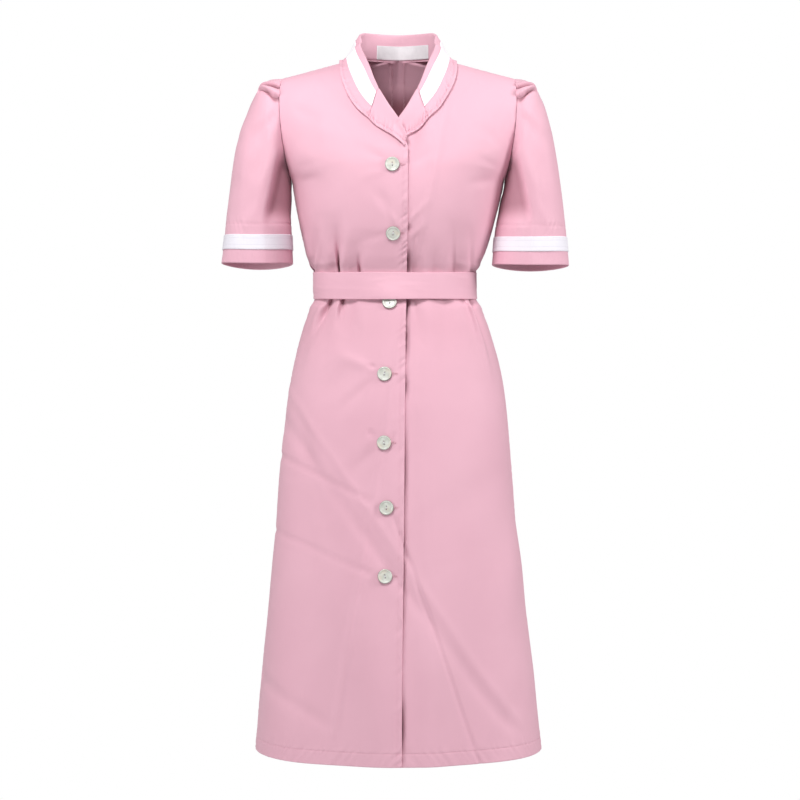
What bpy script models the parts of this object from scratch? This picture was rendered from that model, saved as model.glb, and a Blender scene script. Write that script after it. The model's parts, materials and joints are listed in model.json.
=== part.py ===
"""Maid uniform dress in its worn shape, hollow, as cut and sewn pieces.

Metres, +Z up. The front faces -Y and the wearer's left is +X. The origin lies between the
shoulder seams, where the wearer's shoulders hold the dress. Every piece is a cloth wall whose
outer face comes from a short table of sections and whose inner face lies WALL behind it.
"""

import math

import bmesh
import bpy
import numpy as np
from mathutils import Matrix, Vector
from mathutils.kdtree import KDTree

# Cloth and the gaps between pieces
WALL = 0.0015
SEAM_GAP = 0.0004
LAYER_GAP = 0.0010

# Heights of the main levels
HEM_HEIGHT = -1.012
HEM_DROP = 0.004
HEM_DROP_REACH = 0.250
UNDERARM_HEIGHT = -0.165
WAIST_HEIGHT = -0.3205

# The belt, which dips a little at the front
BELT_WIDTH = 0.0385
BELT_WALL = 0.0018
BELT_HALF_WIDTH = 0.1228
BELT_FRONT_DEPTH = 0.0950
BELT_BACK_DEPTH = 0.0930
WAIST_DIP = 0.0046
WAIST_DIP_REACH = 0.110
BELT_LAP = 0.060

# Share of a quarter section that a handle reaches: 0.552 makes an ellipse
ROUND = 0.565

# How far the front edges pass the centre, and how the under front sinks behind the other
UNDER_LAP = 0.0190
LAP_BEGINS_OVER = 0.040
SINK_FULL = 0.020
SINK_END = 0.052
SINK = WALL + LAYER_GAP
SINK_AT_LAPEL = 0.0056
SINK_LAPEL_HEIGHT = -0.095
SINK_LAPEL_REACH = 0.055

# Sleeve trim, measured up from the sleeve's hem
STRIPE_WIDTH = 0.021
SLEEVE_STRIPE_RISE = 0.0195
STRIPE_WALL = 0.001
STRIPE_GAP = 0.0007

# Collar roll
ROLL_RADIUS = 0.0024
LEG_SHARES = (0.0, 0.05, 0.34, 0.62)
FALL_SHARES = (0.07, 0.14, 0.30, 0.46, 0.62, 0.81, 1.0)
COLLAR_STRIPE_FROM = 0.14
COLLAR_STRIPE_TO = 0.62

# Buttons and label
BUTTON_RADIUS = 0.0105
BUTTON_THICKNESS = 0.0026
BUTTON_RIM = 0.0021
BUTTON_DISH = 0.0007
BUTTON_HOLE_RADIUS = 0.0010
BUTTON_HOLE_PITCH = 0.0032
BUTTON_SIDES = 16
HOLE_SIDES = 6
LABEL_WIDTH = 0.070
LABEL_WALL = 0.001

PINK = (0.80, 0.45, 0.56)
WHITE = (0.93, 0.92, 0.95)
PEARL = (0.74, 0.76, 0.70)


def table(columns, *rows):
    """A short table of sizes: an array for each named column, one value for each row."""
    return {name: np.array(values, float) for name, values in zip(columns.split(), zip(*rows))}


# The dress's sections from hem to underarm: half width and the depths at the two centres
BODY = table(
    "height half_width front_depth back_depth",
    (-1.012, 0.213, 0.172, 0.170),
    (-0.945, 0.208, 0.168, 0.166),
    (-0.861, 0.200, 0.161, 0.160),
    (-0.777, 0.191, 0.153, 0.154),
    (-0.693, 0.182, 0.145, 0.148),
    (-0.609, 0.175, 0.138, 0.143),
    (-0.546, 0.1695, 0.132, 0.139),
    (-0.504, 0.1645, 0.128, 0.135),
    (-0.462, 0.158, 0.122, 0.130),
    (-0.420, 0.1490, 0.115, 0.122),
    (-0.384, 0.1390, 0.106, 0.110),
    (-0.363, 0.1315, 0.100, 0.101),
    (-0.352, 0.1266, 0.0965, 0.0950),
    (-0.342, 0.1201, 0.0922, 0.0902),
    (-0.3205, 0.1190, 0.0905, 0.0885),
    (-0.299, 0.1201, 0.0922, 0.0902),
    (-0.290, 0.1258, 0.0960, 0.0930),
    (-0.276, 0.1330, 0.1025, 0.0975),
    (-0.250, 0.1405, 0.1110, 0.1020),
    (-0.219, 0.1480, 0.1190, 0.1055),
    (-0.190, 0.1545, 0.1240, 0.1080),
    (-0.165, 0.1590, 0.1250, 0.1095),
)

# How far the body stands over to one side, so that the waist is not quite central
SWAY = table(
    "height shift",
    (-1.012, 0.0000),
    (-0.930, -0.0015),
    (-0.800, -0.0030),
    (-0.400, -0.0030),
    (-0.348, -0.0036),
    (-0.325, -0.0048),
    (-0.290, -0.0048),
    (-0.260, -0.0032),
    (-0.220, -0.0018),
    (-0.175, 0.0000),
)

# The line that the rows start from above the underarm, from rise 0 there to rise 1 at the neck point
CENTRE = {
    "front": table(
        "rise x y z",
        (0.00, 0.000, -0.1250, -0.165),
        (0.22, 0.000, -0.1190, -0.128),
        (0.42, 0.002, -0.1060, -0.090),
        (0.60, 0.010, -0.0880, -0.052),
        (0.76, 0.023, -0.0670, -0.020),
        (0.90, 0.043, -0.0360, 0.006),
        (1.00, 0.0630, 0.0000, 0.020),
    ),
    "back": table(
        "rise x y z",
        (0.00, 0.000, 0.1095, -0.165),
        (0.28, 0.000, 0.1130, -0.110),
        (0.52, 0.000, 0.1080, -0.055),
        (0.70, 0.000, 0.0960, -0.010),
        (0.80, 0.000, 0.0800, 0.0180),
        (0.84, 0.000, 0.0735, 0.0265),
        (0.88, 0.0190, 0.0690, 0.0268),
        (0.93, 0.0420, 0.0510, 0.0256),
        (0.97, 0.0570, 0.0270, 0.0230),
        (1.00, 0.0630, 0.0000, 0.020),
    ),
}
BACK_NECK_RISE = 0.84
# The front neckline turns from the lapel's roll to the collar seam here, and the roll ends here
GORGE_HEIGHT = -0.0378
BREAK_HEIGHT = -0.114

# Where a front piece starts, measured from the centre towards its own side
FRONT_EDGE = table(
    "height start",
    (-1.020, -0.0050),
    (-0.750, -0.0103),
    (-0.420, -0.0135),
    (-0.348, -0.0153),
    (-0.325, -0.0170),
    (-0.290, -0.0177),
    (-0.260, -0.0165),
    (-0.220, -0.0157),
    (-0.175, -0.0140),
    (-0.126, -0.0140),
    (-0.112, -0.0095),
    (-0.0980, -0.0035),
    (-0.0833, 0.0038),
    (-0.0640, 0.0165),
    (-0.0378, 0.0316),
    (-0.0225, 0.0400),
    (-0.0080, 0.0475),
    (0.0040, 0.0540),
    (0.0140, 0.0595),
    (0.0200, 0.0630),
)

# Each sleeve's rings from armhole to hem: its outer and inner lines seen from the front
SLEEVES = {
    "right": table(
        "share outer_x outer_z inner_x inner_z half_depth centre_y",
        (0.00, 0.1745, -0.0105, 0.1590, -0.1650, 0.0540, 0.000),
        (0.06, 0.1855, -0.0115, 0.1590, -0.1680, 0.0580, 0.000),
        (0.14, 0.1975, -0.0160, 0.1590, -0.1730, 0.0610, 0.000),
        (0.22, 0.2090, -0.0270, 0.1590, -0.1780, 0.0630, -0.001),
        (0.31, 0.2180, -0.0450, 0.1590, -0.1835, 0.0640, -0.002),
        (0.42, 0.2285, -0.0720, 0.1590, -0.1890, 0.0640, -0.003),
        (0.52, 0.2380, -0.0980, 0.1592, -0.1945, 0.0630, -0.004),
        (0.64, 0.2450, -0.1330, 0.1596, -0.2030, 0.0610, -0.005),
        (0.78, 0.2510, -0.1790, 0.1600, -0.2160, 0.0585, -0.006),
        (0.88, 0.2565, -0.2240, 0.1592, -0.2300, 0.0560, -0.007),
        (1.00, 0.2640, -0.2872, 0.1565, -0.2882, 0.0525, -0.008),
    ),
    "left": table(
        "share outer_x outer_z inner_x inner_z half_depth centre_y",
        (0.00, 0.1745, -0.0105, 0.1590, -0.1650, 0.0540, 0.000),
        (0.06, 0.1855, -0.0115, 0.1590, -0.1680, 0.0580, 0.000),
        (0.14, 0.1965, -0.0165, 0.1584, -0.1730, 0.0610, 0.000),
        (0.22, 0.2065, -0.0265, 0.1574, -0.1780, 0.0630, -0.001),
        (0.31, 0.2155, -0.0440, 0.1562, -0.1835, 0.0640, -0.002),
        (0.42, 0.2245, -0.0700, 0.1546, -0.1890, 0.0640, -0.003),
        (0.52, 0.2310, -0.0970, 0.1532, -0.1945, 0.0630, -0.004),
        (0.64, 0.2375, -0.1330, 0.1514, -0.2030, 0.0610, -0.005),
        (0.78, 0.2440, -0.1790, 0.1490, -0.2160, 0.0585, -0.006),
        (0.88, 0.2495, -0.2240, 0.1460, -0.2310, 0.0560, -0.007),
        (1.00, 0.2555, -0.2907, 0.1400, -0.2896, 0.0525, -0.008),
    ),
}
ARMHOLE_BOW = 0.0065
HEM_TILT = 0.002
HEM_SAG = 0.004
STRAIGHT_SLEEVE_SHARE = 0.88

# Collar and lapel, from the back's centre (0) past the neck point (0.5) and gorge (1) to the
# roll's end (2): how far the leg rises from the seam to the roll, how far it leans to the neck,
# and the outer edge
COLLAR = table(
    "station leg lean edge_x edge_y edge_z",
    (0.00, 0.0382, -0.13, 0.000, 0.0985, 0.0250),
    (0.25, 0.0375, 0.00, 0.060, 0.0690, 0.0220),
    (0.40, 0.0315, 0.15, 0.081, 0.0330, 0.0180),
    (0.50, 0.0205, 0.40, 0.087, 0.0000, 0.0140),
    (0.65, 0.0120, 0.40, 0.0845, -0.0370, -0.0110),
    (0.80, 0.0065, 0.30, 0.0750, -0.0680, -0.0400),
    (0.90, 0.0035, 0.20, 0.0610, -0.0870, -0.0630),
    (1.00, 0.0020, 0.00, 0.0440, -0.0980, -0.0790),
    (1.30, 0.0020, 0.00, 0.0335, -0.1040, -0.0905),
    (1.55, 0.0020, 0.00, 0.0220, -0.1080, -0.0990),
    (1.80, 0.0020, 0.00, 0.0060, -0.1120, -0.1100),
    (2.00, 0.0020, 0.00, -0.0115, -0.1180, -0.1260),
)
NECK_POINT_STATION = 0.5
GORGE_STATION = 1.0
TIP_STATION = {-1: 1.97, 1: 1.78}
RADIAL_UNTIL = 0.55
NORMAL_FROM = 1.0

# The largest folds: from a root to a fading end, seen from the front or the back, with their
# half width at the root and at the end. A negative depth is a trough, and the wearer's left is +X
FOLDS = {
    "front": table(
        "root_x root_z end_x end_z root_half_width end_half_width depth",
        (-0.0900, -0.309, -0.092, -0.205, 0.0100, 0.016, -0.0085),
        (-0.0580, -0.309, -0.059, -0.240, 0.0090, 0.014, -0.0050),
        (-0.1180, -0.296, -0.109, -0.200, 0.0110, 0.018, -0.0050),
        (-0.0740, -0.306, -0.075, -0.225, 0.0090, 0.014, 0.0030),
        (-0.0980, -0.346, -0.120, -0.445, 0.0100, 0.018, -0.0085),
        (-0.0700, -0.346, -0.080, -0.420, 0.0090, 0.016, -0.0050),
        (-0.0550, -0.440, -0.125, -0.500, 0.0150, 0.030, -0.0030),
        (-0.0900, -0.760, -0.080, -0.990, 0.0350, 0.050, -0.0080),
        (-0.1500, -0.700, -0.165, -0.990, 0.0300, 0.045, 0.0055),
        (-0.0300, -0.700, -0.035, -0.990, 0.0300, 0.040, 0.0040),
        (0.0300, -0.309, 0.034, -0.225, 0.0110, 0.018, -0.0060),
        (0.0900, -0.309, 0.092, -0.215, 0.0100, 0.018, -0.0060),
        (0.0600, -0.309, 0.061, -0.240, 0.0100, 0.016, -0.0035),
        (0.0280, -0.346, 0.036, -0.440, 0.0110, 0.018, -0.0075),
        (0.1000, -0.348, 0.148, -0.490, 0.0100, 0.016, 0.0045),
        (0.0720, -0.346, 0.088, -0.450, 0.0110, 0.022, -0.0050),
        (0.1000, -0.740, 0.105, -0.990, 0.0350, 0.050, -0.0080),
        (0.0450, -0.700, 0.050, -0.990, 0.0300, 0.040, 0.0045),
        (0.1650, -0.700, 0.180, -0.990, 0.0300, 0.040, 0.0045),
    ),
    "back": table(
        "root_x root_z end_x end_z root_half_width end_half_width depth",
        (-0.0280, -0.309, -0.030, -0.215, 0.0100, 0.018, -0.0075),
        (-0.0620, -0.309, -0.066, -0.230, 0.0100, 0.016, -0.0070),
        (-0.0960, -0.309, -0.099, -0.220, 0.0100, 0.016, -0.0065),
        (-0.0300, -0.346, -0.040, -0.450, 0.0100, 0.018, -0.0080),
        (-0.0660, -0.346, -0.080, -0.430, 0.0100, 0.018, -0.0075),
        (-0.0980, -0.346, -0.114, -0.430, 0.0100, 0.018, -0.0060),
        (-0.0700, -0.700, -0.085, -0.990, 0.0350, 0.050, -0.0090),
        (-0.1400, -0.700, -0.155, -0.990, 0.0350, 0.050, 0.0070),
        (0.0250, -0.309, 0.024, -0.225, 0.0100, 0.018, -0.0070),
        (0.0570, -0.309, 0.060, -0.210, 0.0100, 0.018, -0.0080),
        (0.0920, -0.309, 0.094, -0.235, 0.0100, 0.016, -0.0060),
        (0.0270, -0.346, 0.032, -0.440, 0.0100, 0.018, -0.0075),
        (0.0600, -0.346, 0.074, -0.455, 0.0100, 0.018, -0.0085),
        (0.0930, -0.346, 0.110, -0.420, 0.0100, 0.018, -0.0060),
        (0.0620, -0.720, 0.070, -0.990, 0.0350, 0.050, -0.0080),
        (0.1350, -0.690, 0.150, -0.990, 0.0350, 0.050, 0.0060),
        (0.0000, -0.700, -0.005, -0.990, 0.0300, 0.040, 0.0050),
    ),
}

# Pleats let into each sleeve head, by their angle down from the shoulder seam
PLEATS = table(
    "angle half_width height fade",
    (19, 8.5, 0.0052, 0.36),
    (41, 7.0, 0.0046, 0.40),
    (61, 8.0, 0.0022, 0.30),
)

# Buttons on the front edge: height, and how far each sits from the edge
BUTTONS = table(
    "height inset",
    (-0.1515, 0.0210),
    (-0.2505, 0.0213),
    (-0.3505, 0.0247),
    (-0.4530, 0.0286),
    (-0.5520, 0.0290),
    (-0.6495, 0.0256),
    (-0.7460, 0.0248),
)
BELT_BULGE = 0.0052
BELT_BULGE_REACH = 0.020

# Rows and columns of each piece's grid
SKIRT_ROWS = 8
FROM_WAIST = (
    -0.125, -0.104, -0.086, -0.070, -0.056, -0.043, -0.032, -0.0222, 0.0, 0.0222, 0.0310, 0.043, 0.058,
    0.078, 0.100, 0.124,
)
CHEST_RISES = (0.0, 0.11, 0.21, 0.30, 0.38, 0.45, 0.52, 0.59, 0.66, 0.73, 0.79, 0.84, 0.88, 0.93, 0.97, 1.0)
FRONT_COLUMNS = 14
BACK_COLUMNS = 11
SLEEVE_RINGS = 12
SLEEVE_SIDES = 28
SLEEVE_CROWDING = 0.45
COLLAR_STATIONS = 29
LAPEL_STATIONS = 8
BELT_SIDES = 40
BELT_HEIGHTS = 4


def smooth(key, values, at):
    """The smooth curve through (key, values), with no overshoot, read at the given places."""
    step = np.diff(key)
    slope = np.diff(values) / step
    product = slope[1:] * slope[:-1]
    total = slope[1:] + slope[:-1]
    level = np.where(product > 0, 2 * product / np.where(total == 0, 1, total), 0)
    tangent = np.concatenate([slope[:1], level, slope[-1:]])
    at = np.clip(at, key[0], key[-1])
    row = np.clip(np.searchsorted(key, at, side="right") - 1, 0, len(step) - 1)
    share = (at - key[row]) / step[row]
    start, end = values[row], values[row + 1]
    leave, arrive = tangent[row] * step[row], tangent[row + 1] * step[row]
    bend = 2 * (start - end) + leave + arrive
    curve = 3 * (end - start) - 2 * leave - arrive
    return ((bend * share + curve) * share + leave) * share + start


def read(rows, key, at, *names):
    """The named columns of a table at the given places of its key column, stacked last."""
    return np.stack([smooth(rows[key], rows[name], at) for name in names], axis=-1)


def ease(low, high, value):
    """0 below low, 1 above high and a smooth step between."""
    share = np.clip((value - low) / (high - low), 0, 1)
    return share * share * (3 - 2 * share)


def unit(vectors):
    """The vectors at length 1."""
    return vectors / np.maximum(np.linalg.norm(vectors, axis=-1, keepdims=True), 1e-12)


def sleeve_ring(rows, share, angle):
    """Points of a sleeve's rings, on the +X side. Angle 0 is the outer line, 90 degrees the front."""
    outer_x, outer_z, inner_x, inner_z, depth, middle = np.moveaxis(
        read(rows, "share", share, "outer_x", "outer_z", "inner_x", "inner_z", "half_depth", "centre_y"), -1, 0
    )
    across, ahead = np.cos(angle), np.sin(angle)
    bow = ARMHOLE_BOW * ahead**2 * (1 - ease(0.0, 0.3, share))
    tilt = (HEM_TILT * ahead - HEM_SAG * ahead**2) * ease(0.5, STRAIGHT_SLEEVE_SHARE, share)
    return np.stack(
        [
            (outer_x + inner_x) / 2 + (outer_x - inner_x) / 2 * across + bow,
            middle - depth * ahead,
            (outer_z + inner_z) / 2 + (outer_z - inner_z) / 2 * across + tilt,
        ],
        axis=-1,
    )


def armhole(face, rise):
    """The armhole from underarm (rise 0) to shoulder (rise 1), on the front or back half."""
    angle = math.pi * (1 - rise) * (1 if face == "front" else -1)
    return sleeve_ring(SLEEVES["right"], np.zeros_like(rise), angle)


def quarter(start, end, leave, arrive, share):
    """A curve from start to end by its two handles, read at a share from 0 to 1."""
    share = share[..., None]
    return (
        start * (1 - share) ** 3
        + 3 * (start + leave) * share * (1 - share) ** 2
        + 3 * (end + arrive) * share**2 * (1 - share)
        + end * share**3
    )


def body_surface(face, level, share):
    """Points of the dress's front or back on the +X side, with no folds.

    Level runs from the hem (0) through the underarm (1) to the shoulder seam (2), and share
    from the centre (0) to the side seam or armhole (1). A negative share passes the centre.
    """
    height = HEM_HEIGHT + (UNDERARM_HEIGHT - HEM_HEIGHT) * np.minimum(level, 1)
    wide = smooth(BODY["height"], BODY["half_width"], height)
    deep = smooth(BODY["height"], BODY[face + "_depth"], height) * (-1 if face == "front" else 1)
    none = np.zeros_like(height)
    rise = np.clip(level - 1, 0, 1)
    upper = (level > 1)[..., None]
    start = np.where(upper, read(CENTRE[face], "rise", rise, "x", "y", "z"), np.stack([none, deep, height], -1))
    end = np.where(upper, armhole(face, rise), np.stack([wide, none, height], -1))
    straight = ease(0.0, 0.75, rise)[..., None]
    third = (end - start) / 3
    leave = (1 - straight) * np.stack([ROUND * wide, none, none], -1) + straight * third
    arrive = (1 - straight) * np.stack([none, ROUND * deep, none], -1) - straight * third
    points = quarter(start, end, leave, arrive, np.abs(share))
    points[..., 0] *= np.where(share < 0, -1, 1)
    dip = np.exp(-(((points[..., 2] - WAIST_HEIGHT) / WAIST_DIP_REACH) ** 2))
    points[..., 2] += WAIST_DIP * points[..., 1] / BELT_FRONT_DEPTH * dip
    drop = ease(0, HEM_DROP_REACH, HEM_HEIGHT + HEM_DROP_REACH - points[..., 2])
    points[..., 2] += HEM_DROP * drop * points[..., 1] / BODY["front_depth"][0]
    return points


def swayed(points):
    """The points moved sideways with the body at their heights."""
    shift = smooth(SWAY["height"], SWAY["shift"], points[..., 2])
    return points + shift[..., None] * np.array([1.0, 0.0, 0.0])


def front_start(level, lap):
    """The share at which each row of a front begins, so that its edge follows FRONT_EDGE."""
    share = np.linspace(-0.35, 0.6, 400)
    points = body_surface("front", level[:, None] + 0 * share, share + 0 * level[:, None])
    wanted = smooth(FRONT_EDGE["height"], FRONT_EDGE["start"], points[..., 2])
    wanted = wanted - lap * ease(0, LAP_BEGINS_OVER, BREAK_HEIGHT - points[..., 2])
    past = points[..., 0] - wanted
    return np.array([np.interp(0, row, share) for row in past])


def levels():
    """The levels of the body's rows, closest at the waist and the neck."""
    near_waist = WAIST_HEIGHT + np.array(FROM_WAIST)
    skirt = np.linspace(HEM_HEIGHT, near_waist[0], SKIRT_ROWS, endpoint=False)
    lower = (np.concatenate([skirt, near_waist]) - HEM_HEIGHT) / (UNDERARM_HEIGHT - HEM_HEIGHT)
    return np.concatenate([lower, 1 + np.array(CHEST_RISES)])


def normals(points, sign):
    """The grid's unit normals, turned by the sign."""
    across = np.gradient(points, axis=1)
    up = np.gradient(points, axis=0)
    return unit(np.cross(across, up)) * sign


def fold_height(rows, x, z):
    """How far the folds in a table raise or sink the cloth at (x, z)."""
    total = np.zeros_like(x)
    for root_x, root_z, end_x, end_z, root_half, end_half, depth in zip(*rows.values()):
        run = np.array([end_x - root_x, end_z - root_z])
        length = np.hypot(*run)
        run = run / length
        along = ((x - root_x) * run[0] + (z - root_z) * run[1]) / length
        off = (x - root_x) * run[1] - (z - root_z) * run[0]
        half = root_half + (end_half - root_half) * np.clip(along, 0, 1)
        fade = (1 - ease(0.15, 1.0, along)) * ease(-0.12, 0.0, along)
        if abs(root_z) > 0.6:
            fade = ease(0.0, 0.9, along)
        total += depth * fade * np.exp(-((off / half) ** 2))
    return total


def under_belt(height):
    """1 where the belt presses the cloth flat, 0 away from it."""
    reach = BELT_WIDTH / 2 + WAIST_DIP
    return ease(-reach - 0.012, -reach, height - WAIST_HEIGHT) * (1 - ease(reach, reach + 0.012, height - WAIST_HEIGHT))


def panel(face, side, level, share, under=False):
    """The outer points and normals of a body piece. Side is +1 for the wearer's left.

    The under front sinks behind the other one where they lap.
    """
    points = body_surface(face, level, share)
    sign = 1 if face == "front" else -1
    raised = fold_height(FOLDS[face], points[..., 0] * side, points[..., 2])
    raised = np.where(raised > 0, raised * (1 - under_belt(points[..., 2])), raised)
    if under:
        lapel = np.exp(-(((points[..., 2] - SINK_LAPEL_HEIGHT) / SINK_LAPEL_REACH) ** 4))
        raised = raised - (SINK + SINK_AT_LAPEL * lapel) * (1 - ease(SINK_FULL, SINK_END, points[..., 0]))
    points = points + normals(points, sign) * raised[..., None]
    normal = normals(points, sign)
    points[..., 0] *= side
    normal[..., 0] *= side
    return points, normal


def front_panel(side):
    """The wearer's right front lies over the left one, which sinks behind it."""
    level = levels()
    under = side > 0
    start = front_start(level, UNDER_LAP if under else 0.0)
    share = start[:, None] + (1 - start[:, None]) * np.linspace(0, 1, FRONT_COLUMNS)
    level = level[:, None] + 0 * share
    return panel("front", side, level, share, under)


def back_panel(side):
    """Half of the back, from its centre seam."""
    level = levels()[:, None] + np.zeros(BACK_COLUMNS)
    share = np.linspace(0, 1, BACK_COLUMNS) + 0 * level
    return panel("back", side, level, share)


def along_line(line, share, values=None):
    """Points at equal shares of a line's length, or what the values along it are there."""
    length = np.concatenate([[0], np.cumsum(np.linalg.norm(np.diff(line, axis=0), axis=1))])
    values = line if values is None else values
    return np.stack([np.interp(share, length / length[-1], values[:, i]) for i in range(3)], axis=-1)


def neck_line(side):
    """The neckline of one side, drawn on +X, as a function of station that gives its points and the cloth's normals."""
    back, back_normal = (grid[:, 0] * [side, 1, 1] for grid in back_panel(side))
    front, front_normal = (grid[:, 0] * [side, 1, 1] for grid in front_panel(side))
    turn = len(levels()) - len(CHEST_RISES) + CHEST_RISES.index(BACK_NECK_RISE)
    gorge = np.argmin(np.abs(front[:, 2] - GORGE_HEIGHT))
    tip = np.argmin(np.abs(front[:, 2] - BREAK_HEIGHT))
    parts = [
        (back[turn:], back_normal[turn:]),
        (front[gorge:][::-1], front_normal[gorge:][::-1]),
        (front[tip : gorge + 1][::-1], front_normal[tip : gorge + 1][::-1]),
    ]
    ends = [0, NECK_POINT_STATION, GORGE_STATION, 2]

    def at(station):
        place = np.zeros((len(station), 3))
        normal = np.zeros((len(station), 3))
        for (line, facing), low, high in zip(parts, ends, ends[1:]):
            inside = (station >= low) & (station <= high)
            share = (station[inside] - low) / (high - low)
            place[inside] = along_line(line, share)
            normal[inside] = along_line(line, share, facing)
        return place, unit(normal)

    return at


class Cloth:
    """Points on laid cloth, so that another piece can lie on it."""

    def __init__(self, *sheets):
        self.points = np.concatenate([points.reshape(-1, 3) for points, _ in sheets])
        self.normals = np.concatenate([normal.reshape(-1, 3) for _, normal in sheets])
        self.tree = KDTree(len(self.points))
        for number, point in enumerate(self.points):
            self.tree.insert(point, number)
        self.tree.balance()

    def height(self, points):
        """Each point's height over the cloth, and the cloth's normal there."""
        flat = points.reshape(-1, 3)
        nearest = np.array([self.tree.find(point)[1] for point in flat], int)
        normal = self.normals[nearest]
        above = np.einsum("ij,ij->i", flat - self.points[nearest], normal)
        return above.reshape(points.shape[:-1]), normal.reshape(points.shape)

    def lift(self, points, gap, rest=False):
        """The points moved to lie at least the gap above the cloth, or exactly so if they rest."""
        for _ in range(3):
            above, normal = self.height(points)
            short = gap - above
            if not rest:
                short = np.maximum(short, 0)
            points = points + normal * short[..., None]
        return points


def dense_fronts(side):
    """A front and back of one side, sampled closely, for other pieces to lie on."""
    level = np.concatenate([np.linspace(0.80, 1, 60, endpoint=False), np.linspace(1, 2, 160)])
    under = side > 0
    start = front_start(level, 0.0)
    share = start[:, None] + (1 - start[:, None]) * np.linspace(0, 1, 90)
    front = panel("front", side, level[:, None] + 0 * share, share, under)
    level = np.linspace(1.4, 2, 90)[:, None] + np.zeros(90)
    back = panel("back", side, level, np.linspace(0, 1, 90) + 0 * level)
    return Cloth(front, back)


def collar_section(station, side, cloth):
    """Visible points of the collar or lapel on one side: up its leg, over the roll and down its fall.

    The first axis runs over the stations and the second over the section.
    """
    base, facing = neck_line(side)(station)
    tangent = unit(np.gradient(base, axis=0))
    radial = unit(base * [1, 1, 0] + [0, 0.005, 0])
    flat = ease(RADIAL_UNTIL, NORMAL_FROM, station)[:, None]
    lean = smooth(COLLAR["station"], COLLAR["lean"], station)[:, None]
    out = (1 - flat) * (radial + lean * [0, 0, 1]) + flat * facing
    out = unit(out - tangent * np.einsum("ij,ij->i", out, tangent)[:, None])
    crest = np.cross(tangent, out)
    leg = smooth(COLLAR["station"], COLLAR["leg"], station)[:, None]
    edge = read(COLLAR, "station", station, "edge_x", "edge_y", "edge_z")
    lie = WALL + LAYER_GAP * 1.3
    foot = base + crest * SEAM_GAP * 1.5
    axis = foot + crest * leg + out * ROLL_RADIUS
    turn = [(-1.0, 0.0), (-0.7, 0.7), (0.0, 1.0), (0.7, 0.7), (1.0, 0.0)]
    roll = [axis + ROLL_RADIUS * (out * o + crest * c) for o, c in turn]
    stand = [foot + (roll[0] - foot) * share for share in LEG_SHARES]
    lay = roll[-1]
    bulge = ease(1.0, 0.2, station)[:, None] * 0.004
    fall = [
        lay + (edge - lay) * share + (out * 0.8 + crest * 0.3) * bulge * math.sin(math.pi * share)
        for share in FALL_SHARES
    ]
    points = np.stack([*stand, *roll[1:], *fall], axis=1)
    points[..., 0] *= side
    free = len(stand) + len(roll) - 1
    fallen = cloth.lift(points[:, free:], lie)
    resting = cloth.lift(fallen, lie, rest=True)
    weight = ease(0.3, 0.6, station)[:, None, None] * ease(0, 0.6, np.array(FALL_SHARES))[None, :, None]
    points[:, free:] = fallen * (1 - weight) + resting * weight
    return points


def section_normals(points, side):
    """Normals of a collar section grid, facing the side that shows."""
    across = np.gradient(points, axis=1)
    along = np.gradient(points, axis=0)
    return unit(np.cross(along, across)) * side


def material(name, colour, roughness):
    """A plain surface finish."""
    made = bpy.data.materials.new(name)
    made.use_nodes = True
    shader = made.node_tree.nodes["Principled BSDF"]
    shader.inputs["Base Color"].default_value = (*colour, 1)
    shader.inputs["Roughness"].default_value = roughness
    shader.inputs["Metallic"].default_value = 0.0
    return made


def object_from(name, mesh, finish):
    """Adds a mesh to the scene as one named piece."""
    mesh.shade_smooth()
    mesh.set_sharp_from_angle(angle=math.radians(40))
    made = bpy.data.objects.new(name, mesh)
    made.data.materials.append(finish)
    bpy.context.scene.collection.objects.link(made)
    return made


def wall(name, outer, inner, finish, closed=False):
    """A closed wall between two grids of points. A closed one joins its last column to its first."""
    rows, columns = outer.shape[:2]
    build = bmesh.new()
    faces = [[[build.verts.new(point) for point in row] for row in grid] for grid in (outer, inner)]
    turns = range(columns if closed else columns - 1)
    for grid in faces:
        for row in range(rows - 1):
            for column in turns:
                after = (column + 1) % columns
                build.faces.new(
                    [grid[row][column], grid[row][after], grid[row + 1][after], grid[row + 1][column]]
                )
    front, back = faces
    for row in (0, rows - 1):
        for column in turns:
            after = (column + 1) % columns
            build.faces.new([front[row][column], front[row][after], back[row][after], back[row][column]])
    if not closed:
        for column in (0, columns - 1):
            for row in range(rows - 1):
                build.faces.new(
                    [front[row][column], front[row + 1][column], back[row + 1][column], back[row][column]]
                )
    bmesh.ops.recalc_face_normals(build, faces=build.faces)
    mesh = bpy.data.meshes.new(name)
    build.to_mesh(mesh)
    build.free()
    return object_from(name, mesh, finish)


def build_body(finish):
    """Two fronts and two backs, kept half a seam gap from the seams that they share."""
    half_gap = SEAM_GAP / 2
    for side, name in ((-1, "right"), (1, "left")):
        outer, normal = front_panel(side)
        normal[-1, :, 1] = 0
        normal[:, -1, 1] = np.where(levels() > 1, normal[:, -1, 1], 0)
        inner = outer - unit(normal) * WALL
        for grid in (outer, inner):
            grid[..., 1] = np.minimum(grid[..., 1], -half_gap)
        wall("front_" + name, swayed(outer), swayed(inner), finish)

        outer, normal = back_panel(side)
        normal[-1, :, 1] = 0
        normal[:, -1, 1] = np.where(levels() > 1, normal[:, -1, 1], 0)
        inner = outer - unit(normal) * WALL
        for grid in (outer, inner):
            grid[..., 1] = np.maximum(grid[..., 1], half_gap)
            grid[..., 0] = side * np.maximum(side * grid[..., 0], half_gap)
        wall("back_" + name, swayed(outer), swayed(inner), finish)


def pleat_height(share, angle):
    """How far the sleeve head's pleats stand out, on the front and back alike."""
    total = np.zeros_like(share)
    down = np.degrees(np.abs((angle + math.pi) % (2 * math.pi) - math.pi))
    for place, half, height, fade in zip(*PLEATS.values()):
        ridge = np.exp(-(((down - place) / half) ** 2))
        trough = 0.8 * np.exp(-(((down - place - 1.4 * half) / (0.75 * half)) ** 2))
        total += height * (ridge - trough) * (0.35 + 0.65 * ease(0, 0.06, share)) * (1 - ease(0.1, fade, share))
    return total


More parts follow.
